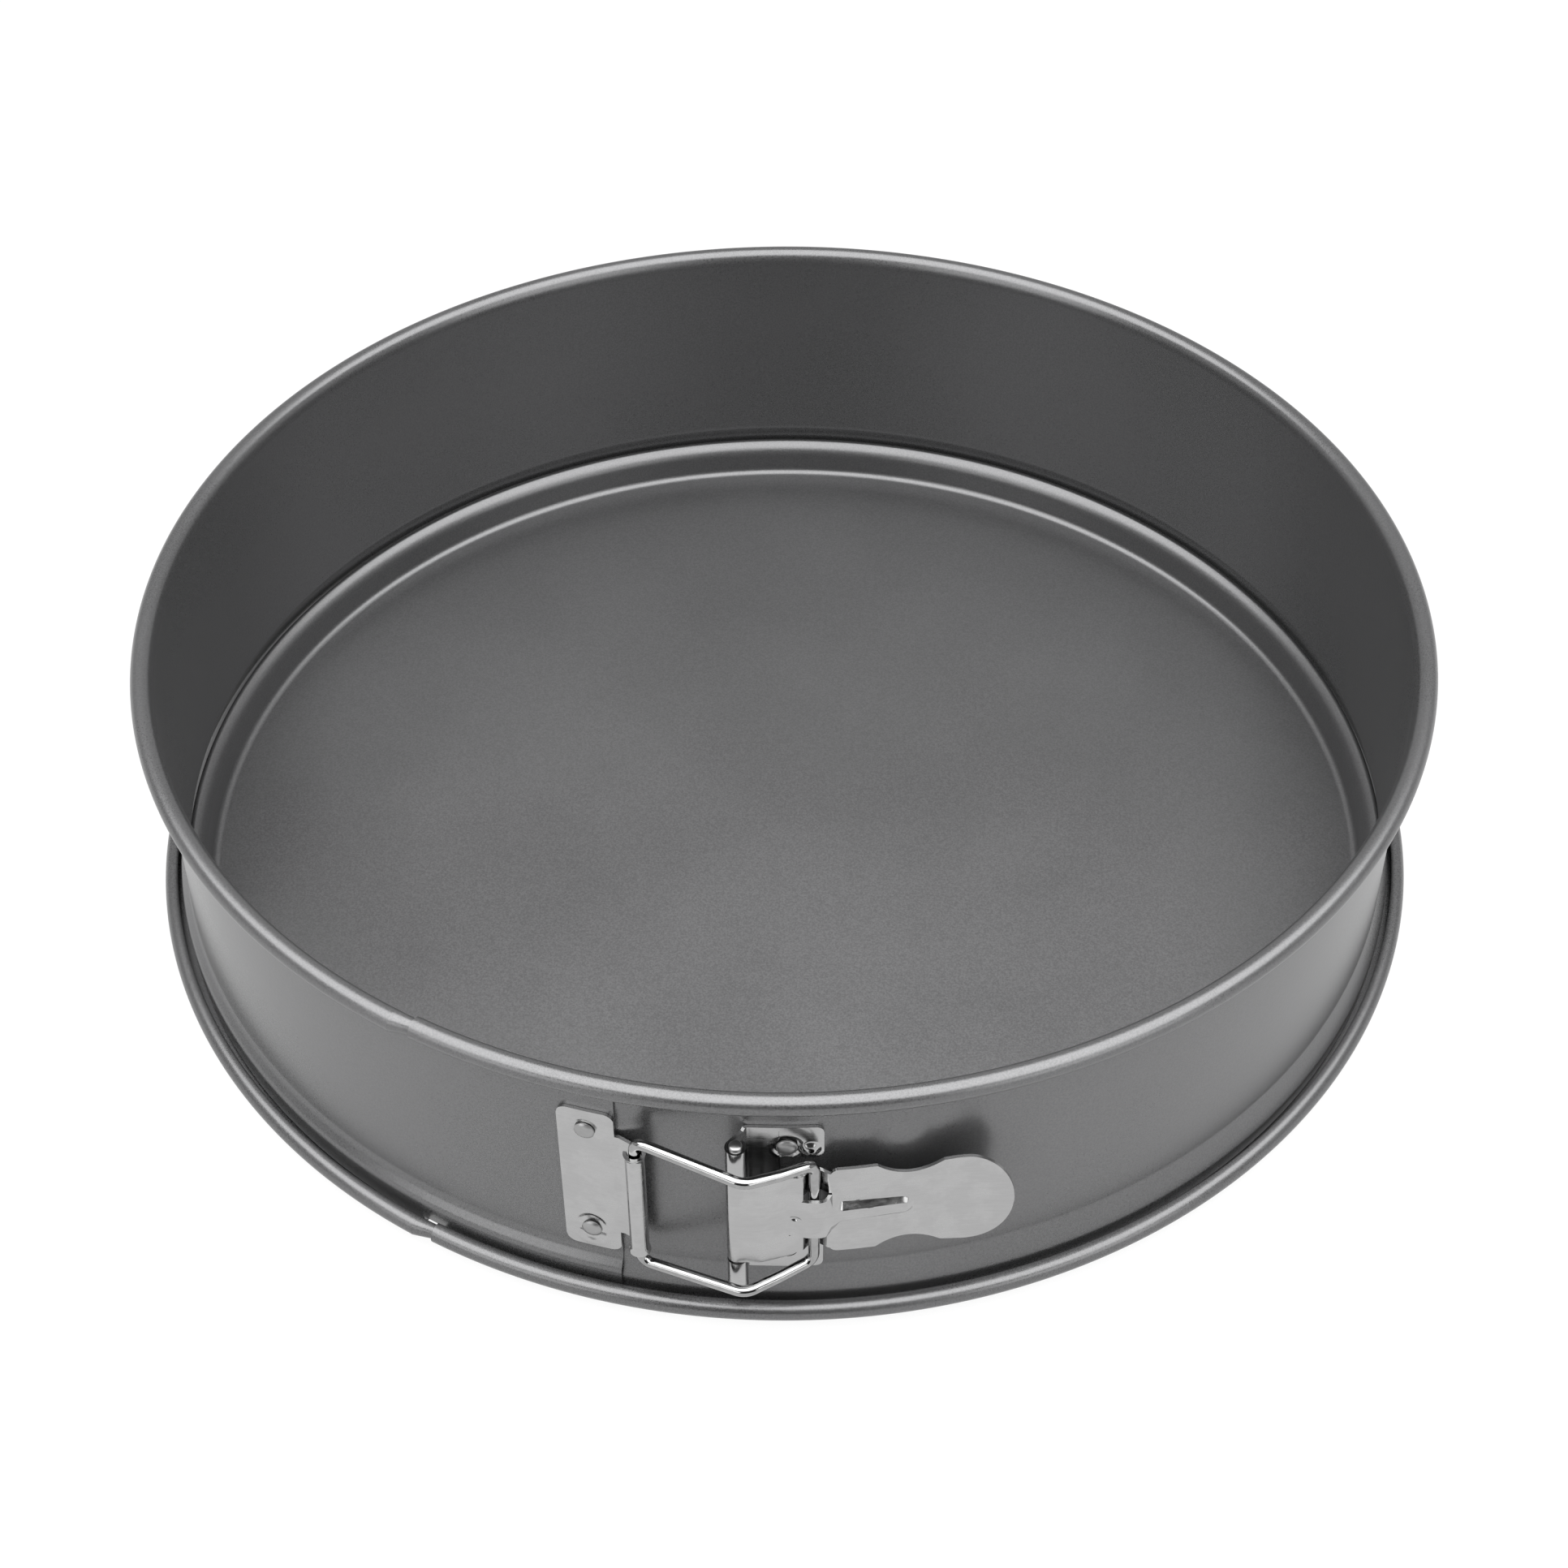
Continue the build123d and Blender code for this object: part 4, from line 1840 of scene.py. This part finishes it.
class TIN_OT_keeper(Operator):
    """Builds the keeper plate, its tongue curled round the wire"""

    bl_idname = "tin.keeper"
    bl_label = "Keeper Plate"

    def execute(self, context):
        scene = context.scene
        tin = scene.tin_sizes
        clip = scene.tin_clip
        keeper = scene.tin_keeper
        offset = lap_offset(tin)
        axis = off_wall(tin, KEEPER_PLACE)
        middle = tin.inner_radius + tin.band_sheet + offset + clip.seat_gap + clip.sheet / 2
        wall_side = axis.y + keeper.plate_gap
        tongue = math.asin(keeper.tongue_across / middle)
        turn = on_ring(middle + keeper.bend, tongue, -offset)
        touch = shared_tangent(turn, -keeper.bend, axis, -clip.keeper_barrel)
        plate_start = math.asin(KEEPER_LEFT / middle)
        line = ring_arc(middle, plate_start, math.asin(KEEPER_RIGHT / middle), 34, -offset)
        line[-1].x = KEEPER_RIGHT
        step = KEEPER_RIGHT + STEP
        line.append(Vector((step, line[-1].y)))
        line += ring_arc(middle, math.asin((step + LEDGE) / middle), tongue, 4, -offset)
        bend_start = bearing(turn, line[-1])
        line += arc(turn, keeper.bend, bend_start, bearing(turn, touch[0]), 10)[1:]
        line += resample(touch, KEEPER_PITCH)[1:]
        line += arc(axis, clip.keeper_barrel, bearing(axis, touch[1]), KEEPER_CURL_END, 40)[1:]

        def span(point):
            half = keeper.tongue_half
            if point.x <= KEEPER_RIGHT + NEAR and point.y > wall_side:
                half = corner_half(point.x, KEEPER_LEFT, KEEPER_RIGHT + LEDGE, keeper.half, keeper.corner)
            return even(clip.height - half, clip.height + half, clip.rows * 2)

        rivet = on_ring(middle, math.asin(clip.keeper_rivet_across / middle), -offset)

        def place(point, height):
            level = height - clip.height
            around = point - axis
            if around.length < clip.keeper_barrel + LEDGE / 2:
                mouth = keeper.tongue_half - keeper.mouth_length
                open_share = smooth_step(abs(level), mouth, keeper.tongue_half)
                return around.normalized() * keeper.mouth_flare * open_share
            if point.x > KEEPER_RIGHT or point.y < wall_side:
                return Vector((0.0, 0.0))
            along = math.copysign((point - rivet).length, point.x - rivet.x)
            ring = math.hypot(along, level - clip.keeper_rivet)
            dish = keeper.ring_depth * smooth_step(ring, keeper.ring_radius, keeper.ring_floor)
            low = level + clip.keeper_rivet
            oval = math.hypot(along / keeper.dish_across, (low - keeper.dish_lift) / keeper.dish_half)
            flat = smooth_step(abs(low), 0.0006, 0.0026)
            dish += keeper.dish_depth * smooth_step(oval, 1.0, 0.7) * flat
            lip = keeper.lip * smooth_step(oval, 1.35, 1.0) * smooth_step(oval, 0.84, 1.0)
            return rivet.normalized() * (lip - dish)

        made = soften(pressed("keeper", line, span, clip.sheet, place))
        plating = plated_sheet("keeper_plating", scene.tin_finishes)
        dress(made, plating, "keeper_end", "tinplate", "keeper_plate")
        return {"FINISHED"}


class TIN_OT_bracket(Operator):
    """Builds the pivot bracket with its two knuckles"""

    bl_idname = "tin.bracket"
    bl_label = "Pivot Bracket"

    def execute(self, context):
        scene = context.scene
        tin = scene.tin_sizes
        clip = scene.tin_clip
        bracket = scene.tin_bracket
        axis = off_wall(tin, PIN_PLACE)
        middle = tin.inner_radius + tin.band_sheet + clip.seat_gap + clip.sheet / 2
        web = math.asin(BRACKET_LEFT / middle)
        arm = math.asin((BRACKET_SPINE + LEDGE) / middle)
        tip = math.asin(BRACKET_RIGHT / middle)
        turn = on_ring(middle + bracket.bend, web)
        touch = shared_tangent(turn, bracket.bend, axis, clip.barrel)
        foot = bearing(turn, on_ring(middle, web))
        line = arc(axis, clip.barrel, BRACKET_CURL_START, bearing(axis, touch[1]), 44)
        line += resample([touch[1], touch[0]], WEB_PITCH)[1:]
        line += arc(turn, bracket.bend, bearing(turn, touch[0]), foot, 10)[1:]
        line += resample(ring_arc(middle, web, math.asin(BRACKET_SPINE / middle), 12), SPINE_PITCH)[1:]
        line[-1].x = BRACKET_SPINE
        line.append(Vector((BRACKET_SPINE + STEP, line[-1].y)))
        line += resample(ring_arc(middle, arm, tip, 24), ARM_PITCH)
        line = clean_line(line)
        outside = on_ring(middle + BRACKET_FRONT, web).y
        plating = plated_sheet("bracket_plating", scene.tin_finishes)
        for side, name in ((1, "bracket_upper"), (-1, "bracket_lower")):

            def span(point, side=side):
                if point.x > BRACKET_SPINE + NEAR:
                    high = corner_half(point.x, -FAR, BRACKET_RIGHT, bracket.half, bracket.corner)
                    low = bracket.arm + bracket.half - high
                elif point.y < outside:
                    low, high = bracket.knuckle_low, bracket.knuckle_high
                else:
                    low, high = -bracket.overlap, bracket.half
                rise = even(low, high, clip.rows)
                return [clip.height + side * value for value in (rise if side > 0 else rise[::-1])]

            def place(point, height, side=side):
                if side < 0:
                    return Vector((0.0, 0.0))
                level = height - clip.height - clip.bracket_rivet
                boss = math.hypot(point.x - bracket.boss_across, level + bracket.boss_drop)
                seat = math.hypot(point.x, level)
                lift = bracket.boss_rise * smooth_step(boss, bracket.boss_radius, bracket.boss_flat)
                lift -= bracket.seat_depth * smooth_step(seat, bracket.seat_radius, bracket.seat_floor)
                return Vector((0.0, -lift))

            made = soften(pressed(name, line, span, clip.sheet, place))
            dress(made, plating, "ring", "tinplate", "pivot_bracket")
        return {"FINISHED"}


class TIN_OT_lever(Operator):
    """Builds the lever with its barrel, tunnel, rib and paddle"""

    bl_idname = "tin.lever"
    bl_label = "Lever"

    def execute(self, context):
        scene = context.scene
        tin = scene.tin_sizes
        clip = scene.tin_clip
        lever = scene.tin_lever
        axis = off_wall(tin, PIN_PLACE)
        wire = off_wall(tin, TUNNEL_PLACE)
        front = axis.y - clip.barrel
        wall_side = axis.y + BARREL_BACK
        bend = Vector((lever.bend_across, front))
        lean = math.tan(lever.lean)
        slope_end = (lever.slope_right, front + (lever.slope_right - bend.x) * lean)
        tunnel_floor = wire.y + clip.wire + lever.wire_behind + clip.sheet / 2
        tunnel_front = wire.y - clip.wire - lever.wire_ahead - clip.sheet / 2
        paddle = spline([off_wall(tin, place) for place in PADDLE_PLACES])
        strip = arc(axis, clip.barrel, LEVER_CURL_START, LEVER_CURL_END, 40)
        strip += rounded(
            [
                (axis.x, front),
                bend,
                slope_end,
                (lever.floor_left, tunnel_floor),
                (lever.floor_right, tunnel_floor),
                paddle[0],
            ],
            [lever.bend, lever.fold, lever.fold, lever.fold],
        )
        strip += paddle[1:]
        ridge = off_wall(tin, RIB_PLACE).y + clip.sheet / 2
        ridge_end = Vector((lever.rib_end, height_on(paddle, lever.rib_end) - lever.ridge_drop))
        bridge = rounded(
            [
                (lever.lance_left, front + (lever.lance_left - bend.x) * lean),
                (lever.bridge_left, tunnel_front),
                (lever.bridge_right, tunnel_front),
                (lever.ridge_left, ridge),
                ridge_end,
            ],
            [lever.bridge_bend, lever.bridge_bend, lever.ridge_bend],
        )
        ahead = paddle[1] - paddle[0]
        skin = [paddle[0] - ahead.normalized() * lever.skin_reach] + paddle
        cuts = []
        for first, last in zip(strip, strip[1:]):
            cuts.append(first)
            for x in (lever.lance_left, lever.lance_open, lever.lance_right):
                if first.x < x < last.x and first.y < wall_side:
                    cuts.append(first.lerp(last, (x - first.x) / (last.x - first.x)))
        cuts.append(strip[-1])
        line = resample(cuts, LEVER_PITCH)

        def span(point):
            half = lever_half(lever, point.x)
            scale = min(1.0, half / lever.cut_full)
            low = lever.cut_low * scale
            high = lever.cut_high * scale
            upper = even(0.0, low, lever.rows_inside)
            upper += even(high, max(half, high + 2 * LEDGE), lever.rows_outside)
            lower = [-value for value in reversed(upper[1:])]
            return [clip.height + value for value in lower + upper]

        def place(point, height):
            level = abs(height - clip.height)
            x = point.x
            across = (x - lever.dent_across) / lever.dent_stretch
            dent = math.hypot(across, height - clip.height + lever.dent_drop)
            dent = Vector((0.0, lever.dent_depth * smooth_step(dent, lever.dent_radius, lever.dent_floor)))
            if x <= lever.lance_left or point.y > wall_side:
                return dent
            lanced = x < lever.lance_right - NEAR
            if lanced and level > (lever.cut_low + lever.cut_high) / 2:
                if height < clip.height or x > lever.lance_open:
                    return Vector((0.0, 0.0))
                lift = smooth_step(level, lever.lance_half, lever.cut_low)
                return Vector((0.0, (height_on(bridge, x) - point.y) * lift))
            width = rib_width(lever, x)
            raised = max(0.0, min(1.0, (1 - level / width) / lever.rib_flank))
            raised *= smooth_step(x, lever.rib_gone, lever.rib_fade)
            plate = height_on(skin, x) if x > lever.slope_right else height_on(bridge, x)
            return Vector((0.0, between(plate, height_on(bridge, x), raised) - point.y)) + dent

        def hole(point, height):
            start = lever.lance_left if height < clip.height else lever.lance_open
            within = start < point.x < lever.lance_right and point.y < wall_side
            return within and lever.cut_low < abs(height - clip.height) < lever.cut_high

        plating = plated_sheet("lever_plating", scene.tin_finishes)
        made = soften(pressed("lever_sheet", line, span, clip.sheet, place, hole))
        dress(made, plating, "lever_arm", "tinplate", "lever")
        return {"FINISHED"}


def lever_half(lever, x):
    """Half the lever's height at a distance across: barrel, neck, waist and round paddle."""
    if x < lever.lance_right:
        half = 0.0
        if x < lever.barrel_right:
            half = corner_half(x, -FAR, lever.barrel_right, lever.barrel_half, lever.barrel_corner)
        return max(half, lever.tongue_half if x > lever.tongue_left else 0.0)
    if x < lever.waist_left:
        return corner_half(x, lever.neck_left, FAR, lever.neck_half, lever.neck_corner)
    if x < lever.waist_right:
        length = lever.waist_right - lever.waist_left
        share = (x - lever.waist_middle) / length * 2
        ends = between(lever.neck_half, lever.head_start, (x - lever.waist_left) / length)
        return between(lever.waist_half, ends, share**2)
    if x < lever.head_middle:
        share = (x - lever.waist_right) / (lever.head_middle - lever.waist_right)
        return between(lever.head_start, lever.head_half, math.sin(share * math.pi / 2))
    round_share = (x - lever.head_middle) / lever.head_reach
    return max(HEAD_LEAST, lever.head_half * math.sqrt(max(0.0, 1 - round_share**2)))


def rib_width(lever, x):
    """Half the height of the raised bridge and of the rib that runs on from it."""
    if x < lever.lance_right - NEAR:
        return lever.rib_root + (lever.lance_right - x) * lever.rib_spread
    slow = between(lever.rib_half, lever.rib_tip, (x - lever.rib_start) / lever.rib_run)
    width = between(lever.rib_root, slow, smooth_step(x, lever.rib_waist_left, lever.rib_waist_right))
    past = max(0.0, x - lever.rib_round_left) / lever.rib_round
    return max(LEDGE, width * math.sqrt(max(0.0, 1 - past**2)))


def spline(points, count=14):
    """A smooth line through points."""
    ends = [points[0] * 2 - points[1], *points, points[-1] * 2 - points[-2]]
    line = [points[0]]
    for p0, p1, p2, p3 in zip(ends, ends[1:], ends[2:], ends[3:]):
        for step in range(1, count + 1):
            t = step / count
            line.append(
                (
                    p1 * 2
                    + (p2 - p0) * t
                    + (p0 * 2 - p1 * 5 + p2 * 4 - p3) * t**2
                    + (p1 * 3 - p0 - p2 * 3 + p3) * t**3
                )
                / 2
            )
    return line


class TIN_OT_wire(Operator):
    """Builds the wire link that draws the two ends together"""

    bl_idname = "tin.wire"
    bl_label = "Wire Link"

    def execute(self, context):
        scene = context.scene
        clip = scene.tin_clip
        tin = scene.tin_sizes
        half = [
            (KEEPER_PLACE, WIRE_START),
            (KEEPER_PLACE, clip.keeper_wire),
            (CROWN_PLACE, clip.crown_wire),
            (SHOULDER_PLACE, clip.shoulder_wire),
            (TUNNEL_PLACE, clip.tunnel_wire),
        ]
        upper = [Vector((*off_wall(tin, place), clip.height + rise)) for place, rise in half]
        lower = [Vector((*off_wall(tin, place), clip.height - rise)) for place, rise in reversed(half)]
        bends = [clip.wire_bend, clip.crown_bend, clip.wire_bend, clip.wire_bend]
        line = rounded(upper + lower, bends + bends[::-1], 14)
        made = add_mesh("link_wire", *loft(tube(resample(line, WIRE_PITCH), clip.wire)))
        dress(made, bright_wire("wire_bright", scene.tin_finishes), "link", "bright_wire", "wire_link")
        return {"FINISHED"}


class TIN_OT_rivets(Operator):
    """Builds the four rivets and the lever pin"""

    bl_idname = "tin.rivets"
    bl_label = "Rivets and Pin"

    def execute(self, context):
        scene = context.scene
        tin = scene.tin_sizes
        clip = scene.tin_clip
        offset = lap_offset(tin)
        plating = plated_sheet("rivet_plating", scene.tin_finishes, 0.8, 0.14)
        bracket = tin.inner_radius + tin.band_sheet + clip.seat_gap + clip.sheet
        keeper = bracket + offset
        keeper_angle = math.asin(clip.keeper_rivet_across / (keeper - clip.sheet / 2))
        dome = clip.rivet_dome - clip.rivet_rim
        head = [(EYE, clip.rivet_dome)]
        for k in range(1, 9):
            share = math.sin(math.radians(90 * k / 8))
            head.append((clip.rivet_head * share, clip.rivet_rim + dome * (1 - share**4)))
        head.append((clip.rivet_head, 0.0))
        shank = clip.rivet_shank
        stands = (
            ("bracket_rivet_upper", bracket, 0.0, clip.bracket_rivet, 0.0, "ring", True),
            ("bracket_rivet_lower", bracket, 0.0, -clip.bracket_rivet, 0.0, "ring", True),
            ("keeper_rivet_upper", keeper, keeper_angle, clip.keeper_rivet, -offset, "keeper_end", False),
            ("keeper_rivet_lower", keeper, keeper_angle, -clip.keeper_rivet, -offset, "keeper_end", False),
        )
        for node, radius, angle, rise, shift, body, tail in stands:
            grip = clip.sheet + clip.seat_gap + tin.band_sheet
            rest = [(shank, 0.0), (shank, -grip), (EYE, -grip)]
            if tail:
                end = -grip - TAIL_GAP
                rest = [(shank, 0.0), (shank, end), (clip.rivet_tail, end)]
                rest += [(size, end - depth) for size, depth in TAIL_END]
            place = outward(radius, angle, clip.height + rise, shift)
            made = add_mesh(node.replace("rivet", "stud"), *loft(lathe(head + rest, place)))
            dress(made, plating, body, "rivet_steel", node)
        pin = [(EYE, clip.pin_half)]
        for k in range(1, 9):
            lean = math.radians(90 * k / 8)
            pin.append((clip.pin * math.sin(lean), clip.pin_half - clip.pin_dome * (1 - math.cos(lean))))
        pin += [(radius, -height) for radius, height in reversed(pin)]
        place = Matrix.Translation((*off_wall(tin, PIN_PLACE), clip.height))
        made = add_mesh("pivot_pin", *loft(lathe(pin, place)))
        dress(made, plating, "ring", "rivet_steel", "lever_pin")
        return {"FINISHED"}


class TIN_OT_stage(Operator):
    """Sets up the pale floor, the soft lights and the camera"""

    bl_idname = "tin.stage"
    bl_label = "Stage"

    def execute(self, context):
        scene = context.scene
        stage = scene.tin_stage
        self.lay_floor(scene, stage)
        self.wrap_world(scene, stage)
        self.hang_light(scene, "key", stage.key_place, stage.key_target, stage.key_size, stage.key_power)
        for side in (-1, 1):
            place = Vector(stage.side_place)
            place.x *= side
            self.hang_light(scene, "side", place, stage.side_target, stage.side_size, stage.side_power)
        self.place_camera(scene, stage)
        scene.view_settings.view_transform = "Standard"
        return {"FINISHED"}

    def lay_floor(self, scene, stage):
        """A wide sheet of pale paper that shows white to the camera and in bright metal."""
        reach = stage.floor_reach
        corners = [(-reach, -reach, 0), (reach, -reach, 0), (reach, reach, 0), (-reach, reach, 0)]
        mesh = bpy.data.meshes.new("floor")
        mesh.from_pydata(corners, [], [(0, 1, 2, 3)])
        floor = bpy.data.objects.new("floor", mesh)
        scene.collection.objects.link(floor)
        material, shader, where = new_material("floor_paper")
        paper = shader.grain(where, scale=40.0, detail=3.0)
        colour = shader.mixed(paper, rgba(WHITE, 0.86), rgba(WHITE, 0.9))
        lit = shader.node("ShaderNodeBsdfPrincipled", inputs={"Base Color": colour, "Roughness": 0.9})
        glow = shader.node("ShaderNodeEmission", inputs={"Color": rgba(WHITE), "Strength": 1.0})
        camera_ray = shader.node("ShaderNodeLightPath", output="Is Camera Ray")
        glossy_ray = shader.node("ShaderNodeLightPath", output="Is Glossy Ray")
        clear_ray = shader.node("ShaderNodeLightPath", output="Is Transmission Ray")
        seen = (camera_ray + glossy_ray + clear_ray).at_most(1.0)
        both = shader.node("ShaderNodeMixShader", inputs={0: seen * stage.floor_glow, 1: lit, 2: glow})
        shader.node("ShaderNodeOutputMaterial", inputs={"Surface": both})
        mesh.materials.append(material)

    def wrap_world(self, scene, stage):
        """An even surround, dark low at the front."""
        world = bpy.data.worlds.new("studio")
        scene.world = world
        shader = Shader(world)
        ray = shader.place("Generated")
        forward = shader.node("ShaderNodeSeparateXYZ", inputs={"Vector": ray}, output="Y")
        up = shader.node("ShaderNodeSeparateXYZ", inputs={"Vector": ray}, output="Z")
        dark = (forward * -1.0).ramp(0.1, 0.6) * up.ramp(0.75, 0.5)
        strength = (1.0 - dark * stage.front_shade) * stage.surround
        sky = shader.node("ShaderNodeBackground", inputs={"Color": rgba(WHITE), "Strength": strength})
        shader.node("ShaderNodeOutputWorld", inputs={"Surface": sky})

    def hang_light(self, scene, name, place, target, size, power):
        """A large soft light turned to a target."""
        light = bpy.data.lights.new(name, "AREA")
        light.shape = "RECTANGLE"
        light.size, light.size_y = size
        light.energy = power
        made = bpy.data.objects.new(name, light)
        made.location = place
        made.rotation_euler = (Vector(target) - Vector(place)).to_track_quat("-Z", "Y").to_euler()
        scene.collection.objects.link(made)

    def place_camera(self, scene, stage):
        """The camera at the picture's viewing angle."""
        camera = bpy.data.cameras.new("camera")
        camera.lens = stage.lens
        camera.sensor_width = stage.sensor
        camera.clip_start = 0.01
        camera.clip_end = 50.0
        viewer = bpy.data.objects.new("camera", camera)
        scene.collection.objects.link(viewer)
        level = Vector((1.0, 0.0, 0.0))
        ahead = Vector((0.0, math.cos(stage.tilt), -math.sin(stage.tilt)))
        above = Vector((0.0, math.sin(stage.tilt), math.cos(stage.tilt)))
        across = level * math.cos(stage.roll) + above * math.sin(stage.roll)
        upward = above * math.cos(stage.roll) - level * math.sin(stage.roll)
        turn = Matrix((across, upward, -ahead)).transposed().to_4x4()
        viewer.matrix_world = Matrix.Translation(stage.eye) @ turn
        scene.camera = viewer


class TIN_PT_panel(Panel):
    """Lists the tin's pieces in the sidebar"""

    bl_label = "Cake Tin"
    bl_idname = "TIN_PT_panel"
    bl_space_type = "VIEW_3D"
    bl_region_type = "UI"
    bl_category = "Cake Tin"

    def draw(self, context):
        for piece in PIECES:
            self.layout.operator(piece.bl_idname)


PIECES = (
    TIN_OT_band,
    TIN_OT_base,
    TIN_OT_keeper,
    TIN_OT_bracket,
    TIN_OT_lever,
    TIN_OT_wire,
    TIN_OT_rivets,
    TIN_OT_stage,
)
GROUPS = {
    "tin_sizes": TinSizes,
    "tin_clip": ClipSizes,
    "tin_keeper": KeeperSizes,
    "tin_bracket": BracketSizes,
    "tin_lever": LeverSizes,
    "tin_finishes": Finishes,
    "tin_stage": StageSettings,
}


def register():
    """Makes the settings, the operators and the panel known to Blender."""
    for group in GROUPS.values():
        bpy.utils.register_class(group)
    for piece in (*PIECES, TIN_PT_panel):
        bpy.utils.register_class(piece)
    for name, group in GROUPS.items():
        setattr(bpy.types.Scene, name, PointerProperty(type=group))


def unregister():
    """Takes them out again."""
    for name in GROUPS:
        delattr(bpy.types.Scene, name)
    for piece in (TIN_PT_panel, *reversed(PIECES)):
        bpy.utils.unregister_class(piece)
    for group in reversed(list(GROUPS.values())):
        bpy.utils.unregister_class(group)


def main():
    """Builds every piece and the stage."""
    register()
    bpy.ops.tin.band()
    bpy.ops.tin.base()
    bpy.ops.tin.keeper()
    bpy.ops.tin.bracket()
    bpy.ops.tin.lever()
    bpy.ops.tin.wire()
    bpy.ops.tin.rivets()
    bpy.ops.tin.stage()


if __name__ == "__main__":
    main()
